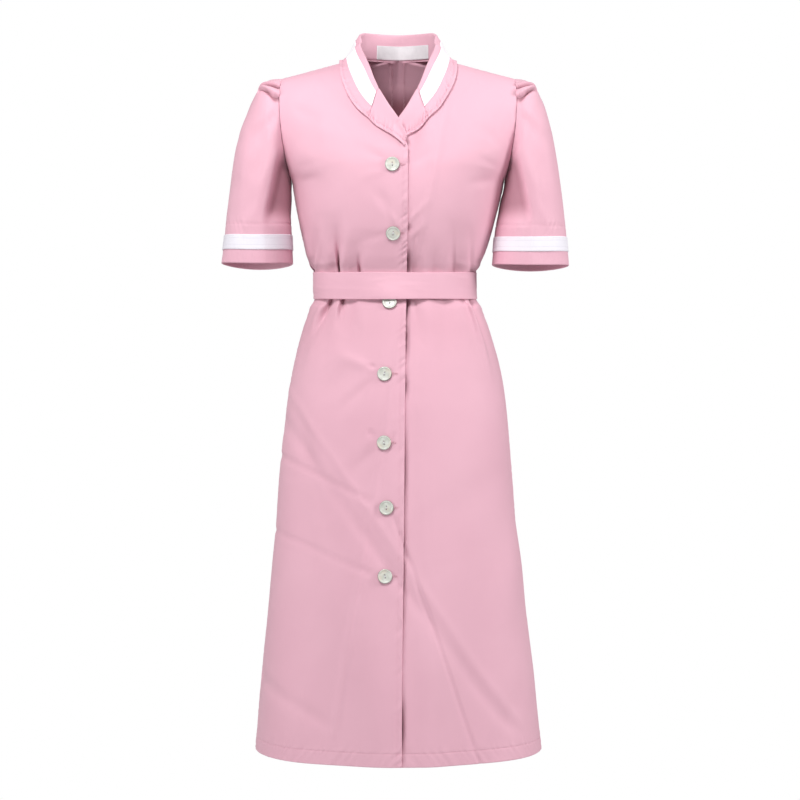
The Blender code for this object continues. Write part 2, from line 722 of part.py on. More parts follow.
def sleeve_surface(name, share, angle, side):
    """Outer points and normals of a sleeve."""
    points = sleeve_ring(SLEEVES[name], share, angle)
    points[..., 0] += SEAM_GAP
    points = points + ring_normals(points) * pleat_height(share, angle)[..., None]
    normal = ring_normals(points)
    points[..., 0] *= side
    normal[..., 0] *= side
    return points, normal


def ring_normals(points):
    """Unit normals of a closed grid of rings, pointing away from its middle."""
    around = np.roll(points, -1, axis=1) - np.roll(points, 1, axis=1)
    along = np.gradient(points, axis=0)
    normal = unit(np.cross(around, along))
    away = points - points.mean(axis=1, keepdims=True)
    return normal * np.sign(np.einsum("ijk,ijk->ij", normal, away).mean())


def sleeve_angles(sides, crowding):
    """Angles round a sleeve from its outer line, closer together at the head than at the underarm."""
    turn = np.linspace(0, 1, sides, endpoint=False)
    return 2 * math.pi * turn - crowding * np.sin(2 * math.pi * turn)


def build_sleeve(side, name, cloth_finish, stripe_finish):
    """A sleeve with its pleated head, and the stripe sewn round it above the hem."""
    angle = sleeve_angles(SLEEVE_SIDES, SLEEVE_CROWDING)
    lower = np.linspace(0.3, STRAIGHT_SLEEVE_SHARE, SLEEVE_RINGS - 7)
    share = np.concatenate([np.linspace(0, 0.3, 6, endpoint=False), lower, [1.0]])
    share_grid = share[:, None] + 0 * angle
    outer, normal = sleeve_surface(name, share_grid, angle + 0 * share_grid, side)
    wall("sleeve_" + name, outer, outer - normal * WALL, cloth_finish, closed=True)

    rows = SLEEVES[name]
    straight = rows["outer_z"][-2] - rows["outer_z"][-1]
    per_metre = (1 - STRAIGHT_SLEEVE_SHARE) / straight
    low = 1 - SLEEVE_STRIPE_RISE * per_metre
    high = low - STRIPE_WIDTH * per_metre
    share_grid = np.linspace(high, low, 3)[:, None] + 0 * angle
    outer, normal = sleeve_surface(name, share_grid, angle + 0 * share_grid, side)
    inner = outer + normal * STRIPE_GAP
    wall("sleeve_stripe_" + name, inner + normal * STRIPE_WALL, inner, stripe_finish, closed=True)


def build_collar(cloths, cloth_finish, stripe_finish):
    """The collar round the back of the neck, its stripe, and the two lapels that it runs into."""
    half = np.linspace(0, GORGE_STATION, COLLAR_STATIONS // 2 + 1)
    right = collar_section(half, -1, cloths[-1])
    left = collar_section(half, 1, cloths[1])
    points = np.concatenate([right[:0:-1], left])
    points[len(half) - 1, :, 0] = 0
    points[0] += unit(points[1] - points[0]) * SEAM_GAP
    points[-1] += unit(points[-2] - points[-1]) * SEAM_GAP
    normal = section_normals(points, 1)
    wall("collar", points, points - normal * WALL, cloth_finish)
    build_label(points, normal, stripe_finish)

    fall = points.shape[1] - len(FALL_SHARES)
    strip = slice(fall + FALL_SHARES.index(COLLAR_STRIPE_FROM), fall + FALL_SHARES.index(COLLAR_STRIPE_TO) + 1)
    under = points[:, strip] + normal[:, strip] * SEAM_GAP
    wall("collar_stripe", under + normal[:, strip] * STRIPE_WALL, under, stripe_finish)

    for side, name in ((-1, "right"), (1, "left")):
        station = np.linspace(GORGE_STATION, TIP_STATION[side], LAPEL_STATIONS)
        points = collar_section(station, side, cloths[side])
        points[0] += unit(points[1] - points[0]) * SEAM_GAP
        normal = section_normals(points, side)
        wall("lapel_" + name, points, points - normal * WALL, cloth_finish)


def belt_ring(turn, height, outward):
    """Points round the belt, which turns from the side seam (0) to the front (1) and on (4).

    Height is from its middle line and outward from its inner face.
    """
    wide = BELT_HALF_WIDTH - BELT_WALL + outward
    front = turn < 2
    deep = np.where(front, -BELT_FRONT_DEPTH, BELT_BACK_DEPTH)
    deep = deep - np.sign(deep) * (BELT_WALL - outward)
    share = 1 - np.abs(1 - turn % 2)
    none = np.zeros_like(turn)
    points = quarter(
        np.stack([wide, none, none], -1),
        np.stack([none, deep, none], -1),
        np.stack([none, ROUND * deep, none], -1),
        np.stack([ROUND * wide, none, none], -1),
        share,
    )
    points[..., 0] *= np.where((turn > 1) & (turn < 3), -1, 1)
    points[..., 2] = WAIST_HEIGHT + WAIST_DIP * points[..., 1] / BELT_FRONT_DEPTH + height
    return points


def build_belt(finish):
    """A plain sash belt, closed all round, that swells over the button under its lower edge."""
    turn = np.linspace(0, 4, BELT_SIDES, endpoint=False)
    height = np.linspace(-0.5, 0.5, BELT_HEIGHTS)[:, None] * BELT_WIDTH + 0 * turn
    turn = turn + 0 * height
    inner = belt_ring(turn, height, 0 * turn)
    button_x = front_edge_at(BUTTONS["height"][2]) - BUTTONS["inset"][2]
    near = np.exp(-(((inner[..., 0] - button_x) / BELT_BULGE_REACH) ** 2)) * (inner[..., 1] < 0)
    swell = BELT_BULGE * near * ease(-0.004, BELT_WIDTH / 2, -height)
    outer, inner = belt_ring(turn, height, swell + BELT_WALL), belt_ring(turn, height, swell)
    wall("belt", swayed(outer), swayed(inner), finish, closed=True)


def front_edge_at(height):
    """X of the over front's edge at a height."""
    return -float(smooth(FRONT_EDGE["height"], FRONT_EDGE["start"], np.array([height]))[0])


def seat_on_front(x, height):
    """Where a button at (x, height) rests on the over front, and the way it faces."""
    level = np.linspace(0, 1.3, 900)
    share = np.linspace(-0.2, 0.4, 90)
    level_grid = level[:, None] + 0 * share
    points, _ = panel("front", -1, level_grid, share + 0 * level_grid)
    off = np.hypot(points[..., 0] - x, points[..., 2] - height)
    centre = points[np.unravel_index(np.argmin(off), off.shape)]
    covered = points[off < BUTTON_RADIUS]
    middle = covered.mean(axis=0)
    normal = np.linalg.svd(covered - middle, full_matrices=False)[2][2]
    normal = normal * -np.sign(normal[1])
    top = ((covered - centre) @ normal).max()
    return swayed(centre + normal * top), normal


def button_mesh():
    """A sew-through button with a raised rim and two holes, facing +Z, its back at Z 0."""
    build = bmesh.new()
    radii = (BUTTON_RADIUS * 0.80, BUTTON_RADIUS, BUTTON_RADIUS, BUTTON_RADIUS - BUTTON_RIM * 0.5)
    heights = (0.0, BUTTON_THICKNESS * 0.35, BUTTON_THICKNESS * 0.75, BUTTON_THICKNESS)
    radii += (BUTTON_RADIUS - BUTTON_RIM, BUTTON_RADIUS - BUTTON_RIM * 1.4)
    heights += (BUTTON_THICKNESS, BUTTON_THICKNESS - BUTTON_DISH)
    rings = []
    for radius, height in zip(radii, heights):
        made = bmesh.ops.create_circle(build, segments=BUTTON_SIDES, radius=radius)
        for vert in made["verts"]:
            vert.co.z = height
        rings.append(made["verts"])
    for low, high in zip(rings, rings[1:]):
        for number in range(BUTTON_SIDES):
            after = (number + 1) % BUTTON_SIDES
            build.faces.new([low[number], low[after], high[after], high[number]])
    build.faces.new(rings[0])
    build.faces.new(rings[-1])
    bmesh.ops.recalc_face_normals(build, faces=build.faces)
    mesh = bpy.data.meshes.new("button")
    build.to_mesh(mesh)
    build.free()
    return mesh


def hole_cutter():
    """The two thread holes, as one hidden cutter."""
    build = bmesh.new()
    for sign in (-1, 1):
        bmesh.ops.create_cone(
            build,
            cap_ends=True,
            segments=HOLE_SIDES,
            radius1=BUTTON_HOLE_RADIUS,
            radius2=BUTTON_HOLE_RADIUS,
            depth=BUTTON_THICKNESS * 3,
            matrix=Matrix.Translation((0, sign * BUTTON_HOLE_PITCH / 2, 0)),
        )
    mesh = bpy.data.meshes.new("thread_holes")
    build.to_mesh(mesh)
    build.free()
    made = bpy.data.objects.new("thread_holes", mesh)
    made.hide_render = True
    made.display_type = "WIRE"
    bpy.context.scene.collection.objects.link(made)
    return made


def build_buttons(finish):
    """Seven buttons down the over front, each lying flat on the cloth."""
    mesh = button_mesh()
    for number, (height, inset) in enumerate(zip(*BUTTONS.values()), start=1):
        point, normal = seat_on_front(front_edge_at(height) - inset, height)
        turn = Vector(normal).to_track_quat("Z", "Y").to_matrix().to_4x4()
        seat = Matrix.Translation(Vector(point) + Vector(normal) * SEAM_GAP) @ turn
        made = object_from(f"button_{number}", mesh.copy(), finish)
        made.matrix_world = seat
        cutter = hole_cutter()
        cutter.name = f"thread_holes_{number}"
        cutter.matrix_world = seat
        cut = made.modifiers.new("thread holes", "BOOLEAN")
        cut.operation = "DIFFERENCE"
        cut.solver = "EXACT"
        cut.object = cutter


def build_label(collar, facing, finish):
    """The blank label, sewn on the inside of the collar's leg at the back."""
    middle = len(collar) // 2
    reach = int(np.argmax(collar[middle:, 0, 0] >= LABEL_WIDTH / 2))
    part = (slice(middle - reach, middle + reach + 1), slice(1, len(LEG_SHARES)))
    near = collar[part] + facing[part] * SEAM_GAP
    wall("label", near + facing[part] * LABEL_WALL, near, finish)


def main():
    """Builds the dress."""
    for thing in list(bpy.data.objects):
        bpy.data.objects.remove(thing)
    pink = material("pink_poplin", PINK, 0.75)
    white = material("white_tape", WHITE, 0.6)
    pearl = material("shell_button", PEARL, 0.25)
    cloths = {side: dense_fronts(side) for side in (-1, 1)}
    build_body(pink)
    build_sleeve(-1, "right", pink, white)
    build_sleeve(1, "left", pink, white)
    build_collar(cloths, pink, white)
    build_belt(pink)
    build_buttons(pearl)


main()
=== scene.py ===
"""A short-sleeved uniform dress in woven cloth, filled out as it is worn, with no wearer.

Metres, +Z up. The front faces -Y and the wearer's left is +X. Every cloth piece is a thin shell
that follows its solid, with finer creases, seams, stitching and woven finishes.
"""

from __future__ import annotations

import json
import logging
import math
from collections.abc import Callable
from dataclasses import dataclass, field
from enum import Enum
from typing import Any

import bmesh
import bpy
import numpy as np
from mathutils import Matrix, Vector
from mathutils.kdtree import KDTree

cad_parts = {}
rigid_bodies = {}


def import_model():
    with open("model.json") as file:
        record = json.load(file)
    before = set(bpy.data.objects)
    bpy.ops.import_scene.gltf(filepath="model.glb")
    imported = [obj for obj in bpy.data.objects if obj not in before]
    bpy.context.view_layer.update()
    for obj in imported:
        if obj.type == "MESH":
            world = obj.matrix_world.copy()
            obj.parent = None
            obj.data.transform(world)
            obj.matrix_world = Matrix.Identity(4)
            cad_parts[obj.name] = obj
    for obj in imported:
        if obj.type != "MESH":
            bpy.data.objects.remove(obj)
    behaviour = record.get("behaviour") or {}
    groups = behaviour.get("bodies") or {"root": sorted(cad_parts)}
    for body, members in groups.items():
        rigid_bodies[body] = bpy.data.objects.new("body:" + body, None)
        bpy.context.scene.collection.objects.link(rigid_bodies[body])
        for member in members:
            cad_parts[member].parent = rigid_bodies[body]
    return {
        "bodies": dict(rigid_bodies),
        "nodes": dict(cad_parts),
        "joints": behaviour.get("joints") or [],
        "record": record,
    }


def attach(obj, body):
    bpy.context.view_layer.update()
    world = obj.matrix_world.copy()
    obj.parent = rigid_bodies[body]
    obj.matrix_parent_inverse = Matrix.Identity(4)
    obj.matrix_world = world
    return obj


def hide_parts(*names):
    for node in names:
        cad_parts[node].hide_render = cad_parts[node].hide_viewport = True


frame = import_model()
log = logging.getLogger("uniform_dress")
Array = np.ndarray
Rows = dict[str, Array]


class Side(Enum):
    """The wearer's two sides, by the sign of X."""

    RIGHT = -1
    LEFT = 1

    @property
    def word(self) -> str:
        """The side as it stands in a piece's name."""
        return self.name.lower()


class Face(Enum):
    """The dress's two faces, by the sign of Y."""

    FRONT = -1
    BACK = 1

    @property
    def word(self) -> str:
        """The face as it stands in a piece's name."""
        return self.name.lower()


def table(columns: str, *rows: tuple[float, ...]) -> Rows:
    """A short table of sizes.

    Args:
        columns: The columns' names, apart by spaces.
        rows: One tuple of values for each row.

    Returns:
        An array of values for each named column.
    """
    return {name: np.array(values, float) for name, values in zip(columns.split(), zip(*rows))}


def smooth(key: Array, values: Array, at: Array) -> Array:
    """The smooth curve through points, with no overshoot.

    Args:
        key: Rising positions of the known values.
        values: The known values.
        at: Where to read the curve.

    Returns:
        The curve's values there.
    """
    step = np.diff(key)
    slope = np.diff(values) / step
    product = slope[1:] * slope[:-1]
    total = slope[1:] + slope[:-1]
    level = np.where(product > 0, 2 * product / np.where(total == 0, 1, total), 0)
    tangent = np.concatenate([slope[:1], level, slope[-1:]])
    at = np.clip(at, key[0], key[-1])
    row = np.clip(np.searchsorted(key, at, side="right") - 1, 0, len(step) - 1)
    share = (at - key[row]) / step[row]
    start, end = values[row], values[row + 1]
    leave, arrive = tangent[row] * step[row], tangent[row + 1] * step[row]
    bend = 2 * (start - end) + leave + arrive
    curve = 3 * (end - start) - 2 * leave - arrive
    return ((bend * share + curve) * share + leave) * share + start


def read(rows: Rows, key: str, at: Array, *names: str) -> Array:
    """The named columns of a table at places of its key column, stacked last."""
    return np.stack([smooth(rows[key], rows[name], at) for name in names], axis=-1)


def ease(low: float, high: float, value: Array) -> Array:
    """0 below low, 1 above high and a smooth step between."""
    share = np.clip((value - low) / (high - low), 0, 1)
    return share * share * (3 - 2 * share)


def bell(value: Array, middle: float, reach: float) -> Array:
    """1 at the middle, a third of that at the reach on either side, and soon nothing."""
    return np.exp(-(((value - middle) / reach) ** 2))


def unit(vectors: Array) -> Array:
    """The vectors at length 1."""
    return vectors / np.maximum(np.linalg.norm(vectors, axis=-1, keepdims=True), 1e-12)


def quarter(start: Array, end: Array, leave: Array, arrive: Array, share: Array) -> Array:
    """A curve from start to end by its two handles, read at a share from 0 to 1."""
    share = share[..., None]
    return (
        start * (1 - share) ** 3
        + 3 * (start + leave) * share * (1 - share) ** 2
        + 3 * (end + arrive) * share**2 * (1 - share)
        + end * share**3
    )


def crowded(count: int, edge: float = 0.0015, depth: int = 3) -> Array:
    """Shares from 0 to 1 with extra ones close to both ends, where seams sink.

    Args:
        count: How many evenly spaced shares there are.
        edge: The first extra share.
        depth: How many extra shares stand at each end, each twice as far in as the one before.

    Returns:
        The rising shares.
    """
    extra = edge * 2.0 ** np.arange(depth)
    return np.unique(np.concatenate([np.linspace(0, 1, count), extra, 1 - extra]))


def grid_normals(points: Array, sign: float) -> Array:
    """Unit normals of an open grid of points, turned by the sign."""
    return unit(np.cross(np.gradient(points, axis=1), np.gradient(points, axis=0))) * sign


def ring_normals(points: Array) -> Array:
    """Unit normals of a closed grid of rings, pointing away from its middle."""
    around = np.roll(points, -1, axis=1) - np.roll(points, 1, axis=1)
    normal = unit(np.cross(around, np.gradient(points, axis=0)))
    away = points - points.mean(axis=1, keepdims=True)
    return normal * np.sign(np.einsum("ijk,ijk->ij", normal, away).mean())


def along_line(line: Array, share: Array, values: Array | None = None) -> Array:
    """Points at equal shares of a line's length, or what the values along it are there."""
    length = np.concatenate([[0], np.cumsum(np.linalg.norm(np.diff(line, axis=0), axis=1))])
    values = line if values is None else values
    return np.stack([np.interp(share, length / length[-1], values[:, i]) for i in range(3)], axis=-1)


@dataclass
class Lay:
    """A laid piece of cloth: its outer points and normals, over rows and columns."""

    points: Array
    normals: Array

    def mirrored(self, side: Side) -> Lay:
        """The same cloth on the given side."""
        turn = np.array([side.value, 1, 1])
        return Lay(self.points * turn, self.normals * turn)

    def sink(self, depth: Array) -> Lay:
        """The cloth moved along its normals by a height for each point."""
        return Lay(self.points + self.normals * depth[..., None], self.normals)

    def columns_in(self) -> Array:
        """Each point's distance along its row from the first column."""
        step = np.linalg.norm(np.diff(self.points, axis=1), axis=-1)
        return np.concatenate([np.zeros((len(step), 1)), np.cumsum(step, axis=1)], axis=1)

    def rows_up(self) -> Array:
        """Each point's distance up its column from the first row."""
        step = np.linalg.norm(np.diff(self.points, axis=0), axis=-1)
        return np.concatenate([np.zeros((1, step.shape[1])), np.cumsum(step, axis=0)], axis=0)

    def line_in(self, distance: float, rows: slice | Array = slice(None)) -> Lay:
        """A line across the rows at a distance from the first column."""
        away = self.columns_in()[rows]
        picked = []
        for values in (self.points[rows], self.normals[rows]):
            picked.append(
                np.array([[np.interp(distance, a, v[:, i]) for i in range(3)] for a, v in zip(away, values)])
            )
        return Lay(picked[0], unit(picked[1]))

    def flipped(self) -> Lay:
        """The cloth with its columns read from the last."""
        return Lay(self.points[:, ::-1], self.normals[:, ::-1])

    def upended(self) -> Lay:
        """The cloth with its rows read from the last."""
        return Lay(self.points[::-1], self.normals[::-1])

    def closed(self) -> Lay:
        """A line that ends where it began."""
        points, normals = (np.concatenate([values, values[:1]]) for values in (self.points, self.normals))
        return Lay(points, normals)

    def raised(self, height: float) -> Lay:
        """The same cloth or line at an even height over itself."""
        return Lay(self.points + self.normals * height, self.normals)

    def line_up(self, distance: float, columns: slice = slice(None)) -> Lay:
        """A line along the columns at a distance from the first row."""
        turned = Lay(self.points.transpose(1, 0, 2), self.normals.transpose(1, 0, 2))
        return turned.line_in(distance, columns)


class Creases:
    """Soft troughs and ridges on cloth, each drawn from a root to a fading end."""

    belt_height = -0.3205
    belt_reach = 0.032
    hem_below = -0.6

    def __init__(self, rows: Rows) -> None:
        """Keeps the table of creases: root and end places, half widths there, and depth."""
        self.rows = rows

    def height(self, across: Array, up: Array) -> Array:
        """How far the creases raise or sink the cloth.

        Args:
            across: Each point's place across the cloth.
            up: Each point's place up the cloth.

        Returns:
            A height for each point, below 0 in a trough.
        """
        total = np.zeros_like(across)
        for root_x, root_z, end_x, end_z, root_half, end_half, depth in zip(*self.rows.values()):
            run = np.array([end_x - root_x, end_z - root_z])
            length = float(np.hypot(*run))
            run = run / length
            along = ((across - root_x) * run[0] + (up - root_z) * run[1]) / length
            off = (across - root_x) * run[1] - (up - root_z) * run[0]
            half = root_half + (end_half - root_half) * np.clip(along, 0, 1)
            if root_z < self.hem_below:
                fade = ease(0.0, 0.9, along)
            elif abs(root_z - self.belt_height) < self.belt_reach:
                fade = (1 - ease(0.15, 1.0, along)) * ease(-0.12, 0.0, along)
            else:
                fade = ease(-0.1, 0.4, along) * (1 - ease(0.5, 1.1, along))
            total += depth * fade * np.exp(-((off / half) ** 2))
        return total


@dataclass(frozen=True)
class Softness:
    """Small uneven dents and swells that worn cloth shows all over, from a fixed seed."""

    count: int
    height: float
    length: tuple[float, float]
    half_width: tuple[float, float]
    lean: float
    low: tuple[float, float]
    high: tuple[float, float]
    seed: int

    def relief(self, across: Array, up: Array) -> Array:
        """The dents' height at each place.

        Args:
            across: Each point's place across the cloth.
            up: Each point's place up the cloth.

        Returns:
            A height for each point, below 0 in a dent.
        """
        chance = np.random.default_rng(self.seed)
        total = np.zeros_like(across)
        for _ in range(self.count):
            place = chance.uniform(self.low, self.high)
            turn = math.pi / 2 + chance.normal(0, self.lean)
            length = chance.uniform(*self.length)
            half = chance.uniform(*self.half_width)
            height = self.height * chance.uniform(0.35, 1) * chance.choice([-1, 1])
            along = (across - place[0]) * math.cos(turn) + (up - place[1]) * math.sin(turn)
            off = (across - place[0]) * math.sin(turn) - (up - place[1]) * math.cos(turn)
            total += height * np.exp(-((along / length) ** 2) - (off / half) ** 2)
        return total


@dataclass(frozen=True)
class Seam:
    """What a line of stitches does to cloth: uneven ripples beside it and a soft groove along it."""

    pitch: float = 1.0
    height: float = 0.0
    reach: float = 1.0
    slant: float = 0.0
    turned_reach: float = 0.0
    groove_depth: float = 0.0
    groove_half: float = 1.0

    def ripples(self, along: Array, away: Array, turned: Array | None = None) -> Array:
        """The ripples' height at each point.

        Args:
            along: Distance along the line.
            away: Distance from the line.
            turned: True where the cloth is turned up and the ripples reach further, if it is anywhere.

        Returns:
            A height for each point.
        """
        reach = self.reach if turned is None else np.where(turned, self.turned_reach, self.reach)
        turn = 2 * math.pi * (along + self.slant * away) / self.pitch
        wave = np.sin(turn + 2.1 * np.sin(turn / 4.7) + 0.9 * np.sin(turn / 2.3 + 1.0))
        strength = 0.55 + 0.45 * np.sin(turn / 7.3 + 1.0) * np.sin(turn / 3.1)
        return self.height * wave * strength * np.exp(-((away / reach) ** 2))

    def groove(self, away: Array) -> Array:
        """The groove's height at each point, by its distance from the line."""
        return -self.groove_depth * np.exp(-((away / self.groove_half) ** 2))

    def worked(self, along: Array, away: Array) -> Array:
        """The groove and the ripples together."""
        return self.groove(away) + self.ripples(along, away)


SIDE_SEAM = Seam(0.011, 0.00034, 0.009, groove_depth=0.0002, groove_half=0.0011)
SHOULDER_SEAM = Seam(0.010, 0.00025, 0.008, groove_depth=0.0006, groove_half=0.0016)
BACK_SEAM = Seam(0.012, 0.00025, 0.009, groove_depth=0.0007, groove_half=0.0016)
ARMHOLE_SEAM = Seam(0.010, 0.00034, 0.008, groove_depth=0.0002, groove_half=0.0011)
DRESS_HEM = Seam(0.013, 0.00065, 0.007, 0.8, 0.030, groove_depth=0.0004, groove_half=0.0010)
SLEEVE_HEM = Seam(0.0085, 0.00055, 0.007, 0.6, 0.012, groove_depth=0.0008, groove_half=0.0012)
SLEEVE_EDGE = Seam(0.012, 0.00030, 0.010, 0.5)
FRONT_STITCH = Seam(0.0115, 0.0015, 0.0068, 0.9, groove_depth=0.00045, groove_half=0.0010)
COLLAR_STITCH = Seam(0.0064, 0.0015, 0.0072, 0.6, groove_depth=0.0008, groove_half=0.0010)
COLLAR_END = Seam(groove_depth=0.0005, groove_half=0.0012)
TAPE_TOP, TAPE_FOOT = Seam(0.009, 0.0002, 0.004), Seam(0.0085, 0.0002, 0.004)
TAPE_OVER_HEM = Seam(0.0085, 0.0002, 0.012, 0.6)
STRIPE_INNER, STRIPE_OUTER = Seam(0.008, 0.00014, 0.003), Seam(0.0075, 0.00014, 0.003)
BELT_EDGE = Seam(0.012, 0.0001, 0.005)

SKIRT_SOFTNESS = Softness(46, 0.0021, (0.05, 0.16), (0.012, 0.034), 0.22, (-0.22, -1.0), (0.22, -0.36), 7)
BODICE_SOFTNESS = Softness(60, 0.0009, (0.02, 0.06), (0.008, 0.020), 0.7, (-0.17, -0.29), (0.17, 0.01), 11)
CRINKLE = Softness(260, 0.00028, (0.008, 0.030), (0.003, 0.008), 1.2, (-0.22, -1.0), (0.22, 0.02), 23)


def linked(name: str, data: bpy.types.ID) -> bpy.types.Object:
    """A new object of the data, in the scene."""
    thing = bpy.data.objects.new(name, data)
    bpy.context.scene.collection.objects.link(thing)
    return thing


def shell(
    name: str, lay: Lay, thickness: Array | float, finish: bpy.types.Material, closed: bool = False
) -> bpy.types.Object:
    """Gives laid cloth its thickness, with rounded edges and a UV map in metres.

    Args:
        name: The piece's name.
        lay: The cloth's outer face.
        thickness: Its thickness, for the whole piece or for each point.
        finish: Its material.
        closed: True for a ring, whose last column joins the first.

    Returns:
        The closed piece.
    """
    rows, columns = lay.points.shape[:2]
    thick = np.broadcast_to(np.asarray(thickness, float), (rows, columns))[..., None]
    inner = lay.points - lay.normals * thick
    count = rows * columns
    grid = np.arange(count).reshape(rows, columns)
    after = np.roll(grid, -1, axis=1) if closed else grid[:, 1:]
    here = grid if closed else grid[:, :-1]
    quads = np.stack([here[:-1], after[:-1], after[1:], here[1:]], axis=-1).reshape(-1, 4)

    edges: list[Array] = []
    outward: list[Array] = []
    below = unit(lay.points[0] - lay.points[1])
    above = unit(lay.points[-1] - lay.points[-2])
    if closed:
        edges = [np.append(grid[0], grid[0, 0]), np.append(grid[-1], grid[-1, 0])[::-1]]
        outward = [np.concatenate([below, below[:1]]), np.concatenate([above, above[:1]])[::-1]]
    else:
        before = unit(lay.points[:, 0] - lay.points[:, 1])
        past = unit(lay.points[:, -1] - lay.points[:, -2])
        edges = [np.concatenate([grid[0, :-1], grid[:-1, -1], grid[-1, :0:-1], grid[::-1, 0]])]
        outward = [np.concatenate([below[:-1], past[:-1], above[:0:-1], before[::-1]])]
    outer_flat, inner_flat = lay.points.reshape(-1, 3), inner.reshape(-1, 3)
    thick_flat = thick.reshape(-1, 1)
    places = [outer_flat, inner_flat]
    faces = [quads, quads[:, ::-1] + count]
    total = 2 * count
    ties = [np.arange(count), np.arange(count)]
    for edge, out in zip(edges, outward):
        ring = edge[:-1]
        middle = (outer_flat[ring] + inner_flat[ring]) / 2 + out[:-1] * thick_flat[ring] * 0.42
        number = total + np.arange(len(ring))
        follow = np.roll(number, -1)
        step = edge[1:]
        faces.append(np.stack([step, ring, number, follow], axis=-1))
        faces.append(np.stack([follow, number, ring + count, step + count], axis=-1))
        places.append(middle)
        ties.append(ring)
        total += len(ring)
    points = np.concatenate(places)
    face_list = np.concatenate(faces)
    corners = points[quads]
    facing = np.cross(corners[:, 2] - corners[:, 0], corners[:, 3] - corners[:, 1])
    wanted = lay.normals.reshape(-1, 3)[quads[:, 0]]
    if np.einsum("ij,ij->i", facing, wanted).sum() < 0:
        face_list = face_list[:, ::-1]

    tie = np.concatenate(ties)
    across = lay.columns_in().reshape(-1)
    up = lay.rows_up().reshape(-1)
    steps = np.linalg.norm(lay.points - np.roll(lay.points, -1, axis=1), axis=-1)
    girth = float(np.median(steps.sum(axis=1)))
    loop_tie = tie[face_list]
    loop_u = across[loop_tie]
    if closed:
        wraps = (loop_tie % columns).max(axis=1) - (loop_tie % columns).min(axis=1) > columns // 2
        loop_u = np.where(wraps[:, None] & (loop_u < girth / 2), loop_u + girth, loop_u)
    mesh = bpy.data.meshes.new(name)
    mesh.vertices.add(len(points))
    mesh.vertices.foreach_set("co", points.ravel())
    mesh.loops.add(face_list.size)
    mesh.loops.foreach_set("vertex_index", face_list.ravel().astype(np.int32))
    mesh.polygons.add(len(face_list))
    mesh.polygons.foreach_set("loop_start", np.arange(0, face_list.size, 4, dtype=np.int32))
    mesh.update(calc_edges=True)
    layer = mesh.uv_layers.new(name="cloth")
    layer.data.foreach_set("uv", np.stack([loop_u.ravel(), up[loop_tie].ravel()], axis=-1).ravel())
    mesh.validate()
    mesh.shade_smooth()
    mesh.materials.append(finish)
    return linked(name, mesh)


class Hold(Enum):
    """How a cloth piece is held, in the frame's words."""

    HUNG = "hung"
    LAID = "laid"
    STRETCHED = "stretched"
    FOLDED = "folded"


class Slot(Enum):
    """The record's material slots."""

    PINK = "pink_cloth"
    WHITE = "white_trim"
    LABEL = "label_tape"
    SHELL = "shell"


def tint(piece: bpy.types.Object, outer: Array, inner: Array) -> None:
    """Writes the painted shade of a shell's two faces, darker in creases and other places where shade falls,
    for its material to mix in.
    """
    values = np.zeros(len(piece.data.vertices), np.float32)
    values[: outer.size] = outer.ravel()
    values[outer.size : 2 * outer.size] = inner.ravel()
    piece.data.attributes.new("fold_shade", "FLOAT", "POINT").data.foreach_set("value", values)


@dataclass(frozen=True)
class FlatCut:
    """The flat size that a cloth piece is cut to."""

    width: float
    length: float
    area: float
    hold: Hold
    rests_on: tuple[str, ...] = ()


def enter(
    piece: bpy.types.Object, nodes: tuple[str, ...] = (), cut: FlatCut | None = None
) -> None:
    """Gives a finished piece its place in the frame.

    Args:
        piece: The finished piece.
        nodes: The solids that it stands for.
        cut: Its flat cut, if it is a sheet of cloth.
    """
    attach(piece, "root")
    if nodes:
        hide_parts(*nodes)
    faces = len(piece.data.polygons)
    area = sum(polygon.area for polygon in piece.data.polygons) / 2 if cut else 0.0
    log.info("%s: %d faces, one side %.4f m2", piece.name, faces, area)


class LaidSurface:
    """Points on laid cloth, so that another piece can lie on it."""

    def __init__(self, *lays: Lay) -> None:
        """Takes the laid pieces."""
        self.points = np.concatenate([lay.points.reshape(-1, 3) for lay in lays])
        self.normals = np.concatenate([lay.normals.reshape(-1, 3) for lay in lays])
        self.tree = KDTree(len(self.points))
        for number, point in enumerate(self.points):
            self.tree.insert(point, number)
        self.tree.balance()

    def height(self, points: Array) -> tuple[Array, Array]:
        """Each point's height over the cloth, and the cloth's normal there."""
        flat = points.reshape(-1, 3)
        nearest = np.array([self.tree.find(point)[1] for point in flat], int)
        normal = self.normals[nearest]
        above = np.einsum("ij,ij->i", flat - self.points[nearest], normal)
        return above.reshape(points.shape[:-1]), normal.reshape(points.shape)

    def lift(self, points: Array, gap: float, rest: bool = False) -> Array:
        """Moves points to lie over the cloth.

        Args:
            points: The points to move.
            gap: Their least height over the cloth.
            rest: True where they lie at exactly that height.

        Returns:
            The moved points.
        """
        for _ in range(3):
            above, normal = self.height(points)
            short = gap - above
            if not rest:
                short = np.maximum(short, 0)
            points = points + normal * short[..., None]
        return points

    def under(self, x: float, height: float, radius: float) -> tuple[Array, Array]:
        """The seat of a flat round thing: where its middle rests, and the way it faces."""
        front = self.points[self.normals[:, 1] < 0]
        off = np.hypot(front[:, 0] - x, front[:, 2] - height)
        centre = front[np.argmin(off)]
        covered = front[off < radius]
        normal = np.linalg.svd(covered - covered.mean(axis=0), full_matrices=False)[2][2]
        normal = normal * -np.sign(normal[1])
        return centre + normal * ((covered - centre) @ normal).max(), normal


def creases(*rows: tuple[float, ...]) -> Creases:
    """Creases from rows in millimetres: root x and z, end x and z, half width at both, and depth."""
    columns = "root_x root_z end_x end_z root_half_width end_half_width depth"
    return Creases({name: values / 1000 for name, values in table(columns, *rows).items()})


